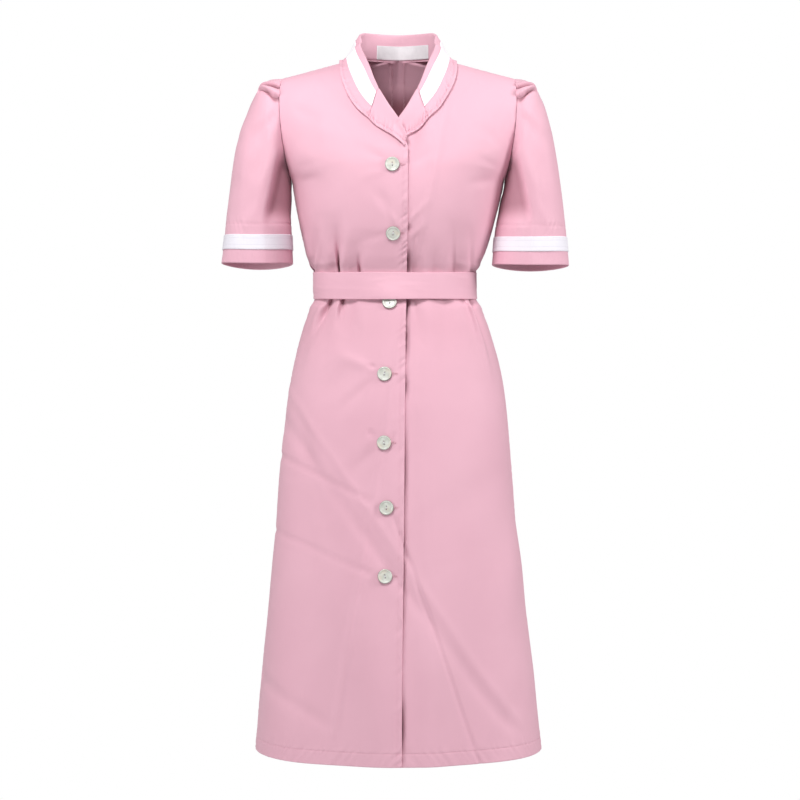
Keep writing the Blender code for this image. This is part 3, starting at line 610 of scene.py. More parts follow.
SECTIONS = table(
    "height half_width front_depth back_depth",
    (-1.012, 0.2118, 0.172, 0.17),
    (-0.945, 0.2056, 0.168, 0.166),
    (-0.861, 0.1976, 0.161, 0.16),
    (-0.777, 0.1886, 0.153, 0.154),
    (-0.693, 0.1797, 0.145, 0.148),
    (-0.609, 0.1738, 0.138, 0.143),
    (-0.546, 0.1688, 0.132, 0.139),
    (-0.504, 0.1645, 0.128, 0.135),
    (-0.462, 0.158, 0.122, 0.13),
    (-0.42, 0.149, 0.115, 0.122),
    (-0.384, 0.139, 0.106, 0.11),
    (-0.363, 0.1315, 0.1, 0.101),
    (-0.352, 0.128, 0.0965, 0.095),
    (-0.342, 0.1214, 0.0922, 0.0902),
    (-0.3205, 0.119, 0.0905, 0.0885),
    (-0.299, 0.1218, 0.0922, 0.0902),
    (-0.29, 0.1266, 0.096, 0.093),
    (-0.276, 0.133, 0.1025, 0.0975),
    (-0.25, 0.1405, 0.111, 0.102),
    (-0.219, 0.148, 0.119, 0.1055),
    (-0.19, 0.1545, 0.124, 0.108),
    (-0.165, 0.159, 0.125, 0.1095),
)
SWAY = table(
    "height shift",
    (-1.012, 0.0006),
    (-0.93, -0.0009),
    (-0.8, -0.0018),
    (-0.64, -0.0022),
    (-0.4, -0.003),
    (-0.348, -0.0036),
    (-0.325, -0.0048),
    (-0.29, -0.0048),
    (-0.26, -0.0032),
    (-0.22, -0.0018),
    (-0.175, 0),
)
FRONT_LINE = table(
    "rise x y z",
    (0, 0, -0.125, -0.165),
    (0.22, 0, -0.119, -0.128),
    (0.42, 0.002, -0.106, -0.09),
    (0.6, 0.01, -0.088, -0.052),
    (0.76, 0.023, -0.067, -0.02),
    (0.9, 0.043, -0.036, 0.006),
    (1, 0.063, 0, 0.02),
)
BACK_LINE = table(
    "rise x y z",
    (0, 0, 0.1095, -0.165),
    (0.28, 0, 0.113, -0.11),
    (0.52, 0, 0.108, -0.055),
    (0.7, 0, 0.096, -0.01),
    (0.8, 0, 0.08, 0.018),
    (0.84, 0, 0.0735, 0.0265),
    (0.88, 0.019, 0.069, 0.0268),
    (0.93, 0.042, 0.051, 0.0256),
    (0.97, 0.057, 0.027, 0.023),
    (1, 0.063, 0, 0.02),
)
FRONT_EDGE = table(
    "height start",
    (-1.02, -0.0044),
    (-0.75, -0.0092),
    (-0.42, -0.0135),
    (-0.348, -0.0153),
    (-0.325, -0.017),
    (-0.29, -0.0177),
    (-0.26, -0.0165),
    (-0.22, -0.0157),
    (-0.175, -0.014),
    (-0.126, -0.014),
    (-0.112, -0.0095),
    (-0.098, -0.0035),
    (-0.0833, 0.0038),
    (-0.064, 0.0165),
    (-0.0378, 0.0316),
    (-0.0225, 0.04),
    (-0.008, 0.0475),
    (0.004, 0.054),
    (0.014, 0.0595),
    (0.02, 0.063),
)
LAP_SHADOWS = table(
    "height half_height depth",
    (-0.243, 0.005, 0.0035),
    (-0.29, 0.015, 0.0062),
    (-0.32, 0.03, 0.0034),
    (-0.354, 0.017, 0.007),
    (-0.4, 0.03, 0.0058),
    (-0.472, 0.014, 0.0046),
    (-0.59, 0.05, 0.004),
    (-0.74, 0.09, 0.0034),
    (-0.96, 0.035, 0.0062),
)
BROAD_FOLDS: dict[Face, Creases] = {
    Face.FRONT: creases(
        (-90, -309, -92, -205, 10, 16, -8.5),
        (-58, -309, -59, -240, 9, 14, -5),
        (-118, -296, -109, -200, 11, 18, -3),
        (-74, -306, -75, -225, 9, 14, 3),
        (-98, -346, -120, -445, 10, 18, -4.5),
        (-70, -346, -80, -420, 9, 16, -5),
        (-55, -440, -125, -500, 15, 30, -3),
        (-90, -760, -80, -990, 35, 50, -8),
        (-150, -700, -165, -990, 30, 45, 5.5),
        (-30, -700, -35, -990, 30, 40, 4),
        (30, -309, 34, -225, 11, 18, -6),
        (90, -309, 92, -215, 10, 18, -6),
        (60, -309, 61, -240, 10, 16, -3.5),
        (28, -346, 36, -440, 11, 18, -3.5),
        (100, -348, 148, -490, 10, 16, 4.5),
        (72, -346, 88, -450, 11, 22, -5),
        (100, -740, 105, -990, 35, 50, -8),
        (45, -700, 50, -990, 30, 40, 4.5),
        (165, -700, 180, -990, 30, 40, 4.5),
    ),
    Face.BACK: creases(
        (-28, -309, -30, -215, 10, 18, -7.5),
        (-62, -309, -66, -230, 10, 16, -7),
        (-96, -309, -99, -220, 10, 16, -6.5),
        (-30, -346, -40, -450, 10, 18, -8),
        (-66, -346, -80, -430, 10, 18, -7.5),
        (-98, -346, -114, -430, 10, 18, -6),
        (-70, -700, -85, -990, 35, 50, -9),
        (-140, -700, -155, -990, 35, 50, 7),
        (25, -309, 24, -225, 10, 18, -7),
        (57, -309, 60, -210, 10, 18, -8),
        (92, -309, 94, -235, 10, 16, -6),
        (27, -346, 32, -440, 10, 18, -7.5),
        (60, -346, 74, -455, 10, 18, -8.5),
        (93, -346, 110, -420, 10, 18, -6),
        (62, -720, 70, -990, 35, 50, -8),
        (135, -690, 150, -990, 35, 50, 6),
        (0, -700, -5, -990, 30, 40, 5),
    ),
}
TUCK_PLACES = table(
    "x reach boost",
    (-0.0885, 0.008, 2.6),
    (-0.0525, 0.0045, 2),
    (0.027, 0.005, 0.8),
    (0.098, 0.009, 1),
)

FINE_CREASES: dict[Face, Creases] = {
    Face.FRONT: creases(
        (-84.3, -314, -89.5, -232, 2.6, 6, -12),
        (-79.6, -314, -84, -250, 2.4, 4.5, 2.4),
        (-51.5, -314, -53.5, -272, 2.4, 5, -8.5),
        (-47.8, -314, -50, -280, 2.4, 4, 1.4),
        (-126, -304, -113, -205, 4, 6, -2.6),
        (-119.5, -300, -107, -208, 4, 6, 1.6),
        (-68, -312, -70, -245, 5, 9, -2),
        (26.5, -314, 27.5, -245, 3, 6, -2.6),
        (95.5, -314, 86.5, -212, 2.6, 3.6, 1.5),
        (90, -314, 80, -215, 4, 7, -2),
        (116, -314, 108, -228, 3.2, 5, -3.6),
        (55, -314, 58, -262, 5, 9, -1.6),
        (3.7, -242, -21, -200, 3, 6, 1.5),
        (-2, -232, -34, -180, 4, 9, -1.8),
        (-8, -250, -62, -262, 5, 9, -1.2),
        (14, -238, 52, -196, 2.6, 7, 1.4),
        (18, -262, 44, -232, 3, 6, 1.2),
        (-8, -150, -58, -122, 4, 9, -1.4),
        (-10, -158, -62, -170, 4, 9, 1),
        (16, -150, 74, -118, 5, 11, -1.2),
        (-153, -150, -104, -143, 5, 8, -0.7),
        (-153, -160, -106, -158, 5, 8, 0.7),
        (-152, -170, -108, -166, 4, 8, -0.7),
        (-158, -60, -112, -82, 6, 12, -1.6),
        (-120, 4, -80, -75, 6, 14, -1.4),
        (150, -166, 96, -178, 5, 9, -1.7),
        (153, -152, 108, -134, 5, 9, -1.4),
        (152, -120, 108, -80, 6, 12, -1.6),
        (118, 4, 84, -80, 6, 14, -1.2),
        (-89.5, -328, -134, -418, 3, 6.5, -8.5),
        (-98.5, -328, -143, -424, 3.4, 5.5, 4.4),
        (-74.5, -328, -88, -394, 2.4, 7, -8.5),
        (-79, -328, -96, -400, 3, 6, 1.6),
        (-60, -330, -68, -396, 5, 9, -2),
        (-120, -360, -152, -470, 6, 9, -2.4),
        (27, -328, 33, -400, 3, 6, -1),
        (56, -328, 64, -405, 5, 9, -2),
        (100, -328, 150, -490, 2.6, 4.6, 5.4),
        (107.5, -328, 142, -440, 3, 5, -6.4),
        (93, -328, 132, -450, 4, 8, -3.2),
        (-34, -462, -96, -520, 5, 13, -2.6),
        (-30, -448, -100, -420, 5, 12, 2),
        (-24, -590, -150, -670, 18, 30, -2),
        (160, -590, 40, -690, 20, 30, -2),
        (-26, -560, -80, -610, 6, 14, -1.8),
        (-28, -446, -42, -440, 1.8, 3.2, -2.2),
        (-28, -545, -44, -537, 1.8, 3.4, -2.4),
        (-29, -642, -46, -634, 1.8, 3.4, -2.2),
        (-27, -746, -42, -740, 1.8, 3.2, -1.8),
        (-8, -548, 0, -540, 1.8, 2.6, -2),
        (-8, -648, -1, -668, 2, 3, -2.2),
        (-85, -968, -118, -950, 6, 10, -2.4),
        (-97, -984, -93, -962, 3, 6, 1.6),
        (176, -985, 150, -950, 4, 9, -2.2),
        (186, -978, 168, -952, 3, 6, 1.4),
    ),
    Face.BACK: creases(
        (-30, -314, -32, -236, 3, 6, -8),
        (-61, -314, -65, -232, 3, 6.5, -7),
        (-45, -314, -46, -268, 3, 5, -3),
        (-96, -314, -100, -242, 3.5, 6.5, -6),
        (-32, -328, -40, -408, 3, 6, -8),
        (-67, -328, -78, -400, 3, 6, -7),
        (-96, -328, -115, -412, 3.4, 6, -6.5),
        (26, -314, 25, -230, 3, 6, -7.5),
        (56, -314, 60, -222, 3, 6.5, -8),
        (73, -314, 75, -268, 3, 5, -3),
        (93, -314, 95, -242, 3.5, 6.5, -6),
        (28, -328, 33, -402, 3, 6, -7.5),
        (59, -328, 72, -418, 3, 6, -8),
        (92, -328, 110, -398, 3.4, 6, -6),
        (-152, -160, -80, -190, 6, 12, -2.4),
        (152, -160, 85, -200, 6, 12, -2.6),
        (-150, -120, -90, -80, 8, 14, -1.8),
        (150, -110, 85, -70, 8, 14, -1.8),
    ),
}


@dataclass
class BodyCut:
    """The dress's fronts and backs as surfaces, from hem to shoulder."""

    hem_height: float = -1.012
    hem_drop: float = 0.004
    hem_drop_reach: float = 0.250
    underarm_height: float = -0.165
    waist_height: float = -0.3205
    waist_dip: float = 0.0046
    waist_dip_reach: float = 0.110
    belt_width: float = 0.0385
    belt_front_depth: float = 0.0950
    roundness: float = 0.565
    under_lap: float = 0.0190
    lap_begins_over: float = 0.040
    break_height: float = -0.114
    gorge_height: float = -0.0378
    back_neck_rise: float = 0.84
    blouse_height: float = -0.2925
    blouse: float = 0.013
    blouse_reach: float = 0.0048
    lap_shadow_reach: float = 0.0085
    hip_height: float = -0.380
    hip_reach: float = 0.045
    even_level: float = 1.02
    even_reach: float = 0.07
    even_turns: int = 80
    crease_clear: float = 0.014
    deepest: float = 0.0175
    thickness: float = 0.0011
    seam_gap: float = 0.0004
    sink: float = 0.0025
    sink_full: float = 0.020
    sink_end: float = 0.052
    sink_at_lapel: float = 0.0056
    sink_lapel_height: float = -0.095
    sink_lapel_reach: float = 0.055
    hem_turn: float = 0.0185
    edge_stitch: float = 0.0070
    facing_width: float = 0.034
    seam_allowance: float = 0.011
    flat: dict[str, FlatCut] = field(
        default_factory=lambda: {
            "front_right": FlatCut(0.42, 1.07, 0.270, Hold.HUNG),
            "front_left": FlatCut(0.44, 1.07, 0.290, Hold.HUNG),
            "back_right": FlatCut(0.42, 1.08, 0.270, Hold.HUNG),
            "back_left": FlatCut(0.42, 1.08, 0.270, Hold.HUNG),
        }
    )


def between(outer: Array, inner: Array, turn: Array) -> Array:
    """The outer value at turn 1, the inner at -1, and in between by the turn."""
    return (outer + inner) / 2 + (outer - inner) / 2 * turn


def swayed(points: Array) -> Array:
    """The points moved sideways with the body at their heights."""
    shift = smooth(SWAY["height"], SWAY["shift"], points[..., 2])
    return points + shift[..., None] * np.array([1.0, 0.0, 0.0])


@dataclass
class ArmholeCurve:
    """The seam where each sleeve joins the body, as an oval seen from the side."""

    outer_x: float = 0.1745
    outer_z: float = -0.0105
    inner_x: float = 0.1590
    inner_z: float = -0.1650
    half_depth: float = 0.0540
    bow: float = 0.0065

    def at(self, face: Face, rise: Array) -> Array:
        """The armhole's points from underarm (rise 0) to shoulder (rise 1), on +X."""
        angle = math.pi * (1 - rise) * -face.value
        across, ahead = np.cos(angle), np.sin(angle)
        x = between(self.outer_x, self.inner_x, across) + self.bow * ahead**2
        return np.stack([x, -self.half_depth * ahead, between(self.outer_z, self.inner_z, across)], axis=-1)


@dataclass
class NeckLine:
    """The line that the collar is sewn to, in three parts by station."""

    parts: list[tuple[Array, Array]]
    ends: tuple[float, ...] = (0.0, 0.5, 1.0, 2.0)

    def at(self, station: Array) -> tuple[Array, Array]:
        """The line's points and the cloth's normals at the stations."""
        place, normal = np.zeros((len(station), 3)), np.zeros((len(station), 3))
        for (line, facing), low, high in zip(self.parts, self.ends, self.ends[1:]):
            inside = (station >= low) & (station <= high)
            share = (station[inside] - low) / (high - low)
            place[inside] = along_line(line, share)
            normal[inside] = along_line(line, share, facing)
        return place, unit(normal)


HEM_ROWS = (
    *(0, 0.0007, 0.002, 0.004, 0.007, 0.010, 0.013, 0.0155),
    *(0.017, 0.018, 0.0185, 0.019, 0.020, 0.0215, 0.024),
)
ROW_RUNS = table("from rows", (-0.982, 104), (-0.470, 42), (-0.350, 12), (-0.300, 38), (-0.215, 13))
SHOULDER_ROWS = (1.990, 1.994, 1.997, 2.0)


@dataclass
class Body:
    """The two fronts and two backs, each one length from shoulder to hem."""

    cut: BodyCut
    armhole: ArmholeCurve
    columns_front: int = 150
    columns_back: int = 70
    laid: dict[str, Lay] = field(default_factory=dict)
    # Painted shade for each piece, by point, which its material mixes into its colour.
    shade: dict[str, Array] = field(default_factory=dict)

    def surface(self, face: Face, level: Array, share: Array) -> Array:
        """Points of one face on the +X side, with no folds.

        Args:
            face: Front or back.
            level: 0 at the hem, 1 at the underarm, 2 at the shoulder seam.
            share: 0 at the centre, 1 at the side seam or armhole, below 0 past the centre.

        Returns:
            A point for each level and share.
        """
        cut = self.cut
        height = cut.hem_height + (cut.underarm_height - cut.hem_height) * np.minimum(level, 1)
        wide = smooth(SECTIONS["height"], SECTIONS["half_width"], height)
        deep = smooth(SECTIONS["height"], SECTIONS[face.word + "_depth"], height) * face.value
        none = np.zeros_like(height)
        rise = np.clip(level - 1, 0, 1)
        upper = (level > 1)[..., None]
        line = FRONT_LINE if face is Face.FRONT else BACK_LINE
        start = np.where(upper, read(line, "rise", rise, "x", "y", "z"), np.stack([none, deep, height], -1))
        end = np.where(upper, self.armhole.at(face, rise), np.stack([wide, none, height], -1))
        straight = ease(0.0, 0.75, rise)[..., None]
        third = (end - start) / 3
        leave = (1 - straight) * np.stack([cut.roundness * wide, none, none], -1) + straight * third
        arrive = (1 - straight) * np.stack([none, cut.roundness * deep, none], -1) - straight * third
        points = quarter(start, end, leave, arrive, np.abs(share))
        points[..., 0] *= np.where(share < 0, -1, 1)
        dip = bell(points[..., 2], cut.waist_height, cut.waist_dip_reach)
        points[..., 2] += cut.waist_dip * points[..., 1] / cut.belt_front_depth * dip
        points[..., 0] *= 1 + cut.blouse * bell(points[..., 2], cut.blouse_height, cut.blouse_reach)
        drop = ease(0, cut.hem_drop_reach, cut.hem_height + cut.hem_drop_reach - points[..., 2])
        points[..., 2] += cut.hem_drop * drop * points[..., 1] / SECTIONS["front_depth"][0]
        return points

    def start(self, level: Array, lap: float) -> Array:
        """The share at which each row of a front begins, so that its edge has its drawn line."""
        cut = self.cut
        share = np.linspace(-0.35, 0.6, 400)
        points = self.surface(Face.FRONT, *np.meshgrid(level, share, indexing="ij"))
        wanted = smooth(FRONT_EDGE["height"], FRONT_EDGE["start"], points[..., 2])
        wanted = wanted - lap * ease(0, cut.lap_begins_over, cut.break_height - points[..., 2])
        return np.array([np.interp(0, row, share) for row in points[..., 0] - wanted])

    def pressed(self, height: Array) -> Array:
        """1 where the belt presses the cloth flat, 0 away from it."""
        reach = self.cut.belt_width / 2 + self.cut.waist_dip
        off = height - self.cut.waist_height
        return ease(-reach - 0.012, -reach, off) * (1 - ease(reach, reach + 0.012, off))

    def lay(self, face: Face, side: Side, level: Array, share: Array, creased_and_shaded: bool = True) -> Lay:
        """Lays one piece of cloth with its folds.

        Args:
            face: Front or back.
            side: The wearer's right or left.
            level: The rows' levels, as a grid.
            share: The columns' shares, as a grid.
            creased_and_shaded: Whether it has its finer creases and the painted shade recorded for them.

        Returns:
            The outer face of the cloth.
        """
        points = self.surface(face, level, share)
        if creased_and_shaded:
            points = self.evened(points, level)
        x, z = points[..., 0] * side.value, points[..., 2]
        raised = BROAD_FOLDS[face].height(x, z)
        raised = np.where(raised > 0, raised * (1 - self.pressed(z)), raised)
        normals = grid_normals(points, -face.value)
        points = points + normals * np.maximum(raised, -self.cut.deepest)[..., None]
        if creased_and_shaded:
            fine = self.fine_folds(face, Lay(points, points), level, (x, z), raised)
            # Records the painted shade of these creases for the cloth's material.
            self.shade[f"{face.word}_{side.word}"] = self.fold_shade(fine, z)
            ahead = 0.92 * (1 - ease(0.098, 0.128, np.abs(x)))
            turned = unit(normals + ahead[..., None] * ([0.0, face.value, 0.0] - normals))
            points = points + turned * fine[..., None]
        if face is Face.FRONT and side is Side.LEFT:
            points = points - normals * self.sunk(points, z, creased_and_shaded)[..., None]
        return Lay(points, grid_normals(points, -face.value)).mirrored(side)

    def evened(self, points: Array, level: Array) -> Array:
        """The points with the bend at the underarm's level smoothed out, clear of the side seam."""
        apart = Lay(points, points).columns_in()
        near = 0.5 * bell(level[:, :1], self.cut.even_level, self.cut.even_reach)
        near = near * ease(0.004, 0.045, apart[:, -1:] - apart)
        for _ in range(self.cut.even_turns):
            points[1:-1] += near[1:-1, :, None] * ((points[:-2] + points[2:]) / 2 - points[1:-1])
        return points

    def fine_folds(
        self, face: Face, flat: Lay, level: Array, place: tuple[Array, Array], raised: Array
    ) -> Array:
        """How far the finer creases stand out, none at the seams and none outward under the belt.

        Args:
            face: Front or back.
            flat: The cloth with its broad folds.
            level: The rows' levels, as a grid.
            place: X and Z of each point before any fold.
            raised: How far the broad folds stand out.

        Returns:
            The height at each point, below 0 in a crease.
        """
        x, z = place
        across, up = flat.columns_in(), flat.rows_up()
        at_shoulder = np.where(level > 1.2, ease(0.0, self.cut.crease_clear, up[-1:] - up), 1)
        free = ease(0.0, self.cut.crease_clear, across[:, -1:] - across) * at_shoulder
        girth = x if face is Face.FRONT else 0.07 - x
        lower = ease(-0.30, -0.40, z)
        fine = FINE_CREASES[face].height(x, z) + SKIRT_SOFTNESS.relief(girth, z) * lower
        fine = fine + BODICE_SOFTNESS.relief(girth, z) * (1 - lower) + CRINKLE.relief(girth, z)
        fine = free * np.where(fine > 0, fine * (1 - self.pressed(z)), fine)
        return np.maximum(fine, -self.cut.deepest - np.minimum(raised, 0))

    def fold_shade(self, fine: Array, z: Array) -> Array:
        """The painted shade in the creases, darker the deeper the crease and least at the belt, with a soft
        band of painted shade over the hips.
        """
        root = 1 - 0.9 * ease(0.006, 0.042, np.abs(z - self.cut.waist_height) - self.cut.belt_width / 2)
        # A soft band of painted shade over the hips, below the belt.
        below = 0.13 * bell(z, self.cut.hip_height, self.cut.hip_reach)
        return np.maximum(ease(0.0028, 0.0105, -fine) * root, below)

    def sunk(self, points: Array, z: Array, creased_and_shaded: bool) -> Array:
        """How far the under front lies behind the over front, deepest under the lapel, also recording
        painted shade in the gap beside the over front's edge.
        """
        cut = self.cut
        lapel = np.exp(-(((z - cut.sink_lapel_height) / cut.sink_lapel_reach) ** 4))
        under = 1 - ease(cut.sink_full, cut.sink_end, points[..., 0])
        sunk = (cut.sink + cut.sink_at_lapel * lapel) * under
        if not creased_and_shaded:
            return sunk
        shadow = self.lap_shadow(points)
        # Painted shade in the gap beside the over front's edge, darker where the gap is deeper.
        dark = 0.8 * ease(0.002, 0.0085, shadow)
        self.shade["front_left"] = np.maximum(self.shade["front_left"], dark)
        return sunk + shadow

    def lap_shadow(self, points: Array) -> Array:
        """How far the under front falls back beside the over front's edge, in uneven places."""
        edge = -smooth(FRONT_EDGE["height"], FRONT_EDGE["start"], points[..., 2])
        deep = np.zeros_like(edge)
        for height, half, depth in zip(*LAP_SHADOWS.values()):
            deep += depth * bell(points[..., 2], height, half)
        return deep * (1 - ease(0.0, self.cut.lap_shadow_reach, points[..., 0] - edge))

    def levels(self) -> Array:
        """The rows' levels, closest at the hem, round the waist and at the shoulder."""
        cut = self.cut
        runs = [cut.hem_height + np.array(HEM_ROWS)]
        stops = [*ROW_RUNS["from"][1:], cut.underarm_height]
        for low, high, count in zip(ROW_RUNS["from"], stops, ROW_RUNS["rows"]):
            runs.append(np.linspace(low, high, int(count), endpoint=False))
        heights = np.concatenate(runs)
        lower = (heights - cut.hem_height) / (cut.underarm_height - cut.hem_height)
        return np.concatenate([lower, 1 + np.linspace(0, 0.985, 54), SHOULDER_ROWS])

    def front_grid(self, side: Side, levels: Array, columns: Array) -> tuple[Array, Array]:
        """Level and share of each point of a front."""
        start = self.start(levels, self.cut.under_lap if side is Side.LEFT else 0.0)
        share = start[:, None] + (1 - start[:, None]) * columns
        return levels[:, None] + 0 * share, share

    def front_columns(self, side: Side) -> Array:
        """A front's columns, closest together where the sharpest tucks leave the belt."""
        even = np.linspace(0, 1, 1501)
        belt_level = (-0.295 - self.cut.hem_height) / (self.cut.underarm_height - self.cut.hem_height)
        row = self.surface(Face.FRONT, *self.front_grid(side, np.array([belt_level]), even))[0]
        x = row[:, 0] * side.value
        close = np.ones_like(even)
        for place, reach, boost in zip(*TUCK_PLACES.values()):
            close += boost * bell(x, place, reach)
        run = np.concatenate([[0.0], np.cumsum((close[1:] + close[:-1]) / 2)])
        return np.interp(crowded(self.columns_front), run / run[-1], even)

    def finish_edges(self, lay: Lay, face: Face, side: Side, levels: Array) -> tuple[Lay, Array]:
        """Sinks the seams and ripples the stitched edges.

        Args:
            lay: The laid piece.
            face: Front or back.
            side: The wearer's right or left.
            levels: The rows' levels.

        Returns:
            The piece with its edges worked, and its thickness at each point.
        """
        cut = self.cut
        across, up = lay.columns_in(), lay.rows_up()
        to_side, to_shoulder = across[:, -1:] - across, up[-1:] - up
        upper = (levels > 1.15)[:, None]
        over_hem, turned = up - cut.hem_turn, up < cut.hem_turn
        depth = SIDE_SEAM.worked(up, to_side) + upper * SHOULDER_SEAM.worked(across, to_shoulder)
        depth = depth + DRESS_HEM.groove(over_hem) + DRESS_HEM.ripples(across, over_hem, turned)
        thick = np.where(turned, cut.thickness * 1.75, cut.thickness)
        if face is Face.FRONT:
            below_roll = (levels < 1.25)[:, None]
            stitched = FRONT_STITCH.groove(across - cut.edge_stitch)
            depth = depth + below_roll * (stitched + FRONT_STITCH.ripples(up, across - cut.edge_stitch / 2))
            thick = np.where(across < cut.facing_width, np.maximum(thick, cut.thickness * 1.6), thick)
        else:
            depth = depth + BACK_SEAM.worked(up, across)
            thick = np.where(across < cut.seam_allowance, cut.thickness * 1.7, thick)
        lay = lay.sink(depth)
        points = lay.points
        half_gap = cut.seam_gap / 2
        points[..., 1] = face.value * np.maximum(face.value * points[..., 1], half_gap)
        normals = lay.normals.copy()
        normals[-1, :, 1] = 0
        normals[:, -1, 1] = np.where(levels > 1, normals[:, -1, 1], 0)
        if face is Face.BACK:
            points[..., 0] = side.value * np.maximum(side.value * points[..., 0], half_gap)
            normals[:, 0, 0] = 0
        return Lay(points, unit(normals)), thick

    def lay_all(self) -> None:
        """Lays the four pieces."""
        levels = self.levels()
        for side in Side:
            level, share = self.front_grid(side, levels, self.front_columns(side))
            self.laid["front_" + side.word] = self.lay(Face.FRONT, side, level, share)
            level, share = np.meshgrid(levels, crowded(self.columns_back), indexing="ij")
            self.laid["back_" + side.word] = self.lay(Face.BACK, side, level, share)

    def build(self, finish: bpy.types.Material) -> None:
        """Builds the four pieces of cloth."""
        self.lay_all()
        levels = self.levels()
        for side in Side:
            for face in Face:
                name = f"{face.word}_{side.word}"
                lay, thick = self.finish_edges(self.laid[name], face, side, levels)
                lay = Lay(swayed(lay.points), lay.normals)
                self.laid[name] = lay
                piece = shell(name + "_cloth", lay, thick, finish)
                shade = self.shade[name]
                # Painted shade on the inner faces: darker near the shoulders, and on the backs darker down
                # towards the bottom of the neck's opening.
                inside = np.maximum(shade, 0.75 * ease(1.86, 1.95, levels)[:, None])
                if face is Face.BACK:
                    inside = np.maximum(inside, 0.95 * ease(0.002, -0.044, lay.points[..., 2]))
                tint(piece, shade, inside)
                enter(piece, (name,), self.cut.flat[name])

    def neck_line(self, side: Side) -> NeckLine:
        """The neckline of one side, drawn on +X, from the back's centre to the roll's end."""
        cut = self.cut
        turn = np.array([side.value, 1, 1])
        columns = np.linspace(0, 1, 60)
        rises = np.linspace(cut.back_neck_rise, 1, 40)
        level, share = np.meshgrid(1 + rises, columns, indexing="ij")
        back = self.lay(Face.BACK, side, level, share, creased_and_shaded=False)
        level, share = self.front_grid(side, np.linspace(1.2, 2, 160), columns)
        front = self.lay(Face.FRONT, side, level, share, creased_and_shaded=False)
        heights = front.points[:, 0, 2]
        gorge = int(np.argmin(np.abs(heights - cut.gorge_height)))
        tip = int(np.argmin(np.abs(heights - cut.break_height)))
        parts = []
        for lay, rows in (
            (back, slice(None)),
            (front, slice(None, gorge - 1 if gorge else None, -1)),
            (front, slice(gorge, tip - 1 if tip else None, -1)),
        ):
            parts.append((lay.points[rows, 0] * turn, lay.normals[rows, 0] * turn))
        return NeckLine(parts)

    def rest(self, side: Side) -> LaidSurface:
        """The front and back of one side as a bed for the collar."""
        columns = np.linspace(0, 1, 100)
        level = np.concatenate([np.linspace(0.80, 1, 50, endpoint=False), np.linspace(1, 2, 170)])
        start = self.start(level, 0.0)
        share = start[:, None] + (1 - start[:, None]) * columns
        front = self.lay(Face.FRONT, side, level[:, None] + 0 * share, share)
        level, share = np.meshgrid(np.linspace(1.4, 2, 90), columns, indexing="ij")
        back = self.lay(Face.BACK, side, level, share)
        return LaidSurface(front, back)

    def edge_x(self, height: float) -> float:
        """X of the over front's edge at a height."""
        place = np.array([[0.0, 0.0, height]])
        place[:, 0] = -smooth(FRONT_EDGE["height"], FRONT_EDGE["start"], place[:, 2])
        return float(swayed(place)[0, 0])


SLEEVE_CUT = FlatCut(0.42, 0.29, 0.088, Hold.HUNG)


